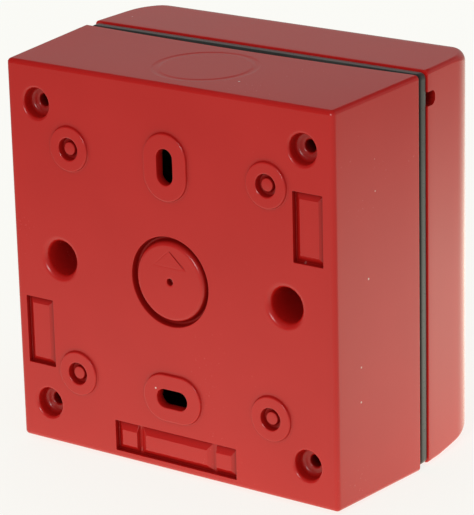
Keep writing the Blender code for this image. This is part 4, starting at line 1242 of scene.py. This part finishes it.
# ================================================================= studio
# Places and sizes of the studio are in metres.
FLOOR_HALF, FLOOR_GAP = 2.6, 0.00005
FLOOR_SHADE = 0.815         # brightness the lens sees at the origin
FLOOR_SLOPE = 0.06          # its loss per metre along Y
FLOOR_RANGE = (0.80, 0.89)  # its limits
FIELD_Y = -0.03             # centre of the glow that lights the product
FIELD_WIDTH = 0.215         # radius where the glow has dropped to 1/e
FIELD_SQUEEZE = 1.15        # narrows the glow along X
FIELD_REACH = 0.68          # shortens distances on the -Y side, so the glow reaches further
FIELD_FAR = 0.32            # brightness far from the product
FIELD_MID = 1.06            # strength of the glow at its centre
FIELD_LEAN = 9.0            # its loss per metre along Y
FIELD_LIMITS = (0.68, 2.3)
SKY_FILL = 0.52             # sky brightness, except in reflections
SKY_BACK, SKY_DARK = 0.40, 0.03     # reflected sky: low band and the rest
KEY_POWER = 4.5             # watts


def clamp_between(tree, value, limits):
    return calculate(tree, "MINIMUM", calculate(tree, "MAXIMUM", value, limits[0]), limits[1])


def floor_material():
    """Paper that glows evenly to the lens and in a soft pool round the product otherwise."""
    material, tree, shader = new_material("studio_floor_paper")
    shader.inputs["Base Color"].default_value = (0.22, 0.22, 0.215, 1)
    shader.inputs["Roughness"].default_value = 0.9
    shader.inputs["Specular IOR Level"].default_value = 0.0
    texture = tree.nodes.new("ShaderNodeTexCoord")
    axes = tree.nodes.new("ShaderNodeSeparateXYZ")
    tree.links.new(texture.outputs["Object"], axes.inputs[0])
    along = calculate(tree, "ADD", axes.outputs["Y"], -FIELD_Y)
    wide = calculate(tree, "MULTIPLY", axes.outputs["X"], FIELD_SQUEEZE)
    deep = calculate(tree, "MAXIMUM", along, calculate(tree, "MULTIPLY", along, -FIELD_REACH))
    squared = calculate(tree, "ADD", calculate(tree, "MULTIPLY", wide, wide),
                        calculate(tree, "MULTIPLY", deep, deep))
    fall = calculate(tree, "EXPONENT",
                     calculate(tree, "MULTIPLY", squared, -1.0 / FIELD_WIDTH ** 2))
    lean = calculate(tree, "SUBTRACT", FIELD_MID,
                     calculate(tree, "MULTIPLY", along, FIELD_LEAN))
    lean = clamp_between(tree, lean, FIELD_LIMITS)
    field = calculate(tree, "ADD", calculate(tree, "MULTIPLY", fall, lean), FIELD_FAR)
    camera_ray = tree.nodes.new("ShaderNodeLightPath").outputs["Is Camera Ray"]
    tint = mix(tree, camera_ray, (1.0, 0.97, 0.81), (1.0, 1.0, 0.957))
    tree.links.new(tint, shader.inputs["Emission Color"])
    shown = calculate(tree, "SUBTRACT", FLOOR_SHADE,
                      calculate(tree, "MULTIPLY", axes.outputs["Y"], FLOOR_SLOPE))
    shown = clamp_between(tree, shown, FLOOR_RANGE)
    seen = calculate(tree, "MULTIPLY", camera_ray, shown)
    unseen = calculate(tree, "MULTIPLY", calculate(tree, "SUBTRACT", 1.0, camera_ray), field)
    tree.links.new(calculate(tree, "ADD", seen, unseen), shader.inputs["Emission Strength"])
    return material


def build_floor():
    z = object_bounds()[0][2] - FLOOR_GAP
    work = bmesh.new()
    corners = ((-1, -1), (1, -1), (1, 1), (-1, 1))
    work.faces.new([work.verts.new((x * FLOOR_HALF, y * FLOOR_HALF, z)) for x, y in corners])
    floor = bpy.data.objects.new("studio_floor", to_mesh(work, "studio_floor", recalculate=False))
    bpy.context.scene.collection.objects.link(floor)
    floor.data.materials.append(floor_material())


def build_world():
    """An even grey sky; reflections see it dark but for a low band on the -Y and -X sides."""
    world = bpy.data.worlds.new("studio_world")
    bpy.context.scene.world = world
    world.use_nodes = True
    tree = world.node_tree
    background = tree.nodes["Background"]
    texture = tree.nodes.new("ShaderNodeTexCoord")
    axes = tree.nodes.new("ShaderNodeSeparateXYZ")
    tree.links.new(texture.outputs["Generated"], axes.inputs[0])
    low = ramp(tree, axes.outputs["Z"], (0.36, 0.62), (1.0, 0.0))
    far_side = ramp(tree, axes.outputs["Y"], (-0.1, 0.25), (1.0, 0.0))
    off_axis = ramp(tree, axes.outputs["X"], (0.32, 0.48), (1.0, 0.0))
    band = calculate(tree, "MULTIPLY", low, calculate(tree, "MAXIMUM", far_side, off_axis))
    reflected = mix(tree, band, (SKY_DARK, SKY_DARK, SKY_DARK),
                    (SKY_BACK, SKY_BACK * 0.985, SKY_BACK * 0.93))
    glossy_ray = tree.nodes.new("ShaderNodeLightPath").outputs["Is Glossy Ray"]
    sky = mix(tree, glossy_ray, (SKY_FILL, SKY_FILL, SKY_FILL), reflected)
    tree.links.new(sky, background.inputs["Color"])
    background.inputs["Strength"].default_value = 1.0


def build_key_light():
    """A soft box above the wall side of the product, a little to -X."""
    place_at, target = Vector((-0.27, 1.18, 0.41)), Vector((0, -0.03, 0))
    data = bpy.data.lights.new("key_softbox", "AREA")
    data.shape = "RECTANGLE"
    data.size, data.size_y = 0.32, 0.28
    data.energy = KEY_POWER
    light = bpy.data.objects.new("key_softbox", data)
    light.location = place_at
    light.rotation_euler = (target - place_at).to_track_quat("-Z", "Y").to_euler()
    bpy.context.scene.collection.objects.link(light)


# ================================================================= camera
AZIMUTH, ELEVATION = math.radians(215.582), math.radians(18.673)    # azimuth from -Y towards +X
ROLL = math.radians(-1.444)
ORIGIN_SEEN = (-14.866, 4.804, 627.943)     # the frame's origin: right of, below, ahead of the lens
SENSOR_HEIGHT, FOCAL_LENGTH = 36.0, 203.1140971
SHIFT_X, SHIFT_Y = -0.002776699, 0.005048544    # shares of the sensor height


def build_camera():
    back = Vector((math.sin(AZIMUTH) * math.cos(ELEVATION),
                   -math.cos(AZIMUTH) * math.cos(ELEVATION), math.sin(ELEVATION)))
    level = Vector((math.cos(AZIMUTH), math.sin(AZIMUTH), 0.0))
    upright = back.cross(level)
    right = level * math.cos(ROLL) + upright * math.sin(ROLL)
    up = -level * math.sin(ROLL) + upright * math.cos(ROLL)
    eye = -(right * ORIGIN_SEEN[0] - up * ORIGIN_SEEN[1] - back * ORIGIN_SEEN[2]) * MM
    data = bpy.data.cameras.new("camera")
    data.sensor_fit = "VERTICAL"
    data.sensor_height = SENSOR_HEIGHT
    data.lens = FOCAL_LENGTH
    data.shift_x = SHIFT_X
    data.shift_y = SHIFT_Y
    data.clip_start = 0.01
    camera = bpy.data.objects.new("camera", data)
    rows = [(right[i], up[i], back[i], eye[i]) for i in range(3)]
    camera.matrix_world = Matrix((*rows, (0, 0, 0, 1)))
    scene = bpy.context.scene
    scene.collection.objects.link(camera)
    scene.camera = camera
    scene.view_settings.view_transform = "Standard"
    scene.view_settings.look = "None"


build_back_box()
build_gasket()
build_front_cover()
build_element()
build_kept_shapes()
build_screws()
build_board_parts()
build_key()
build_resistors()
build_wires()
build_springs()
build_floor()
build_world()
build_key_light()
build_camera()
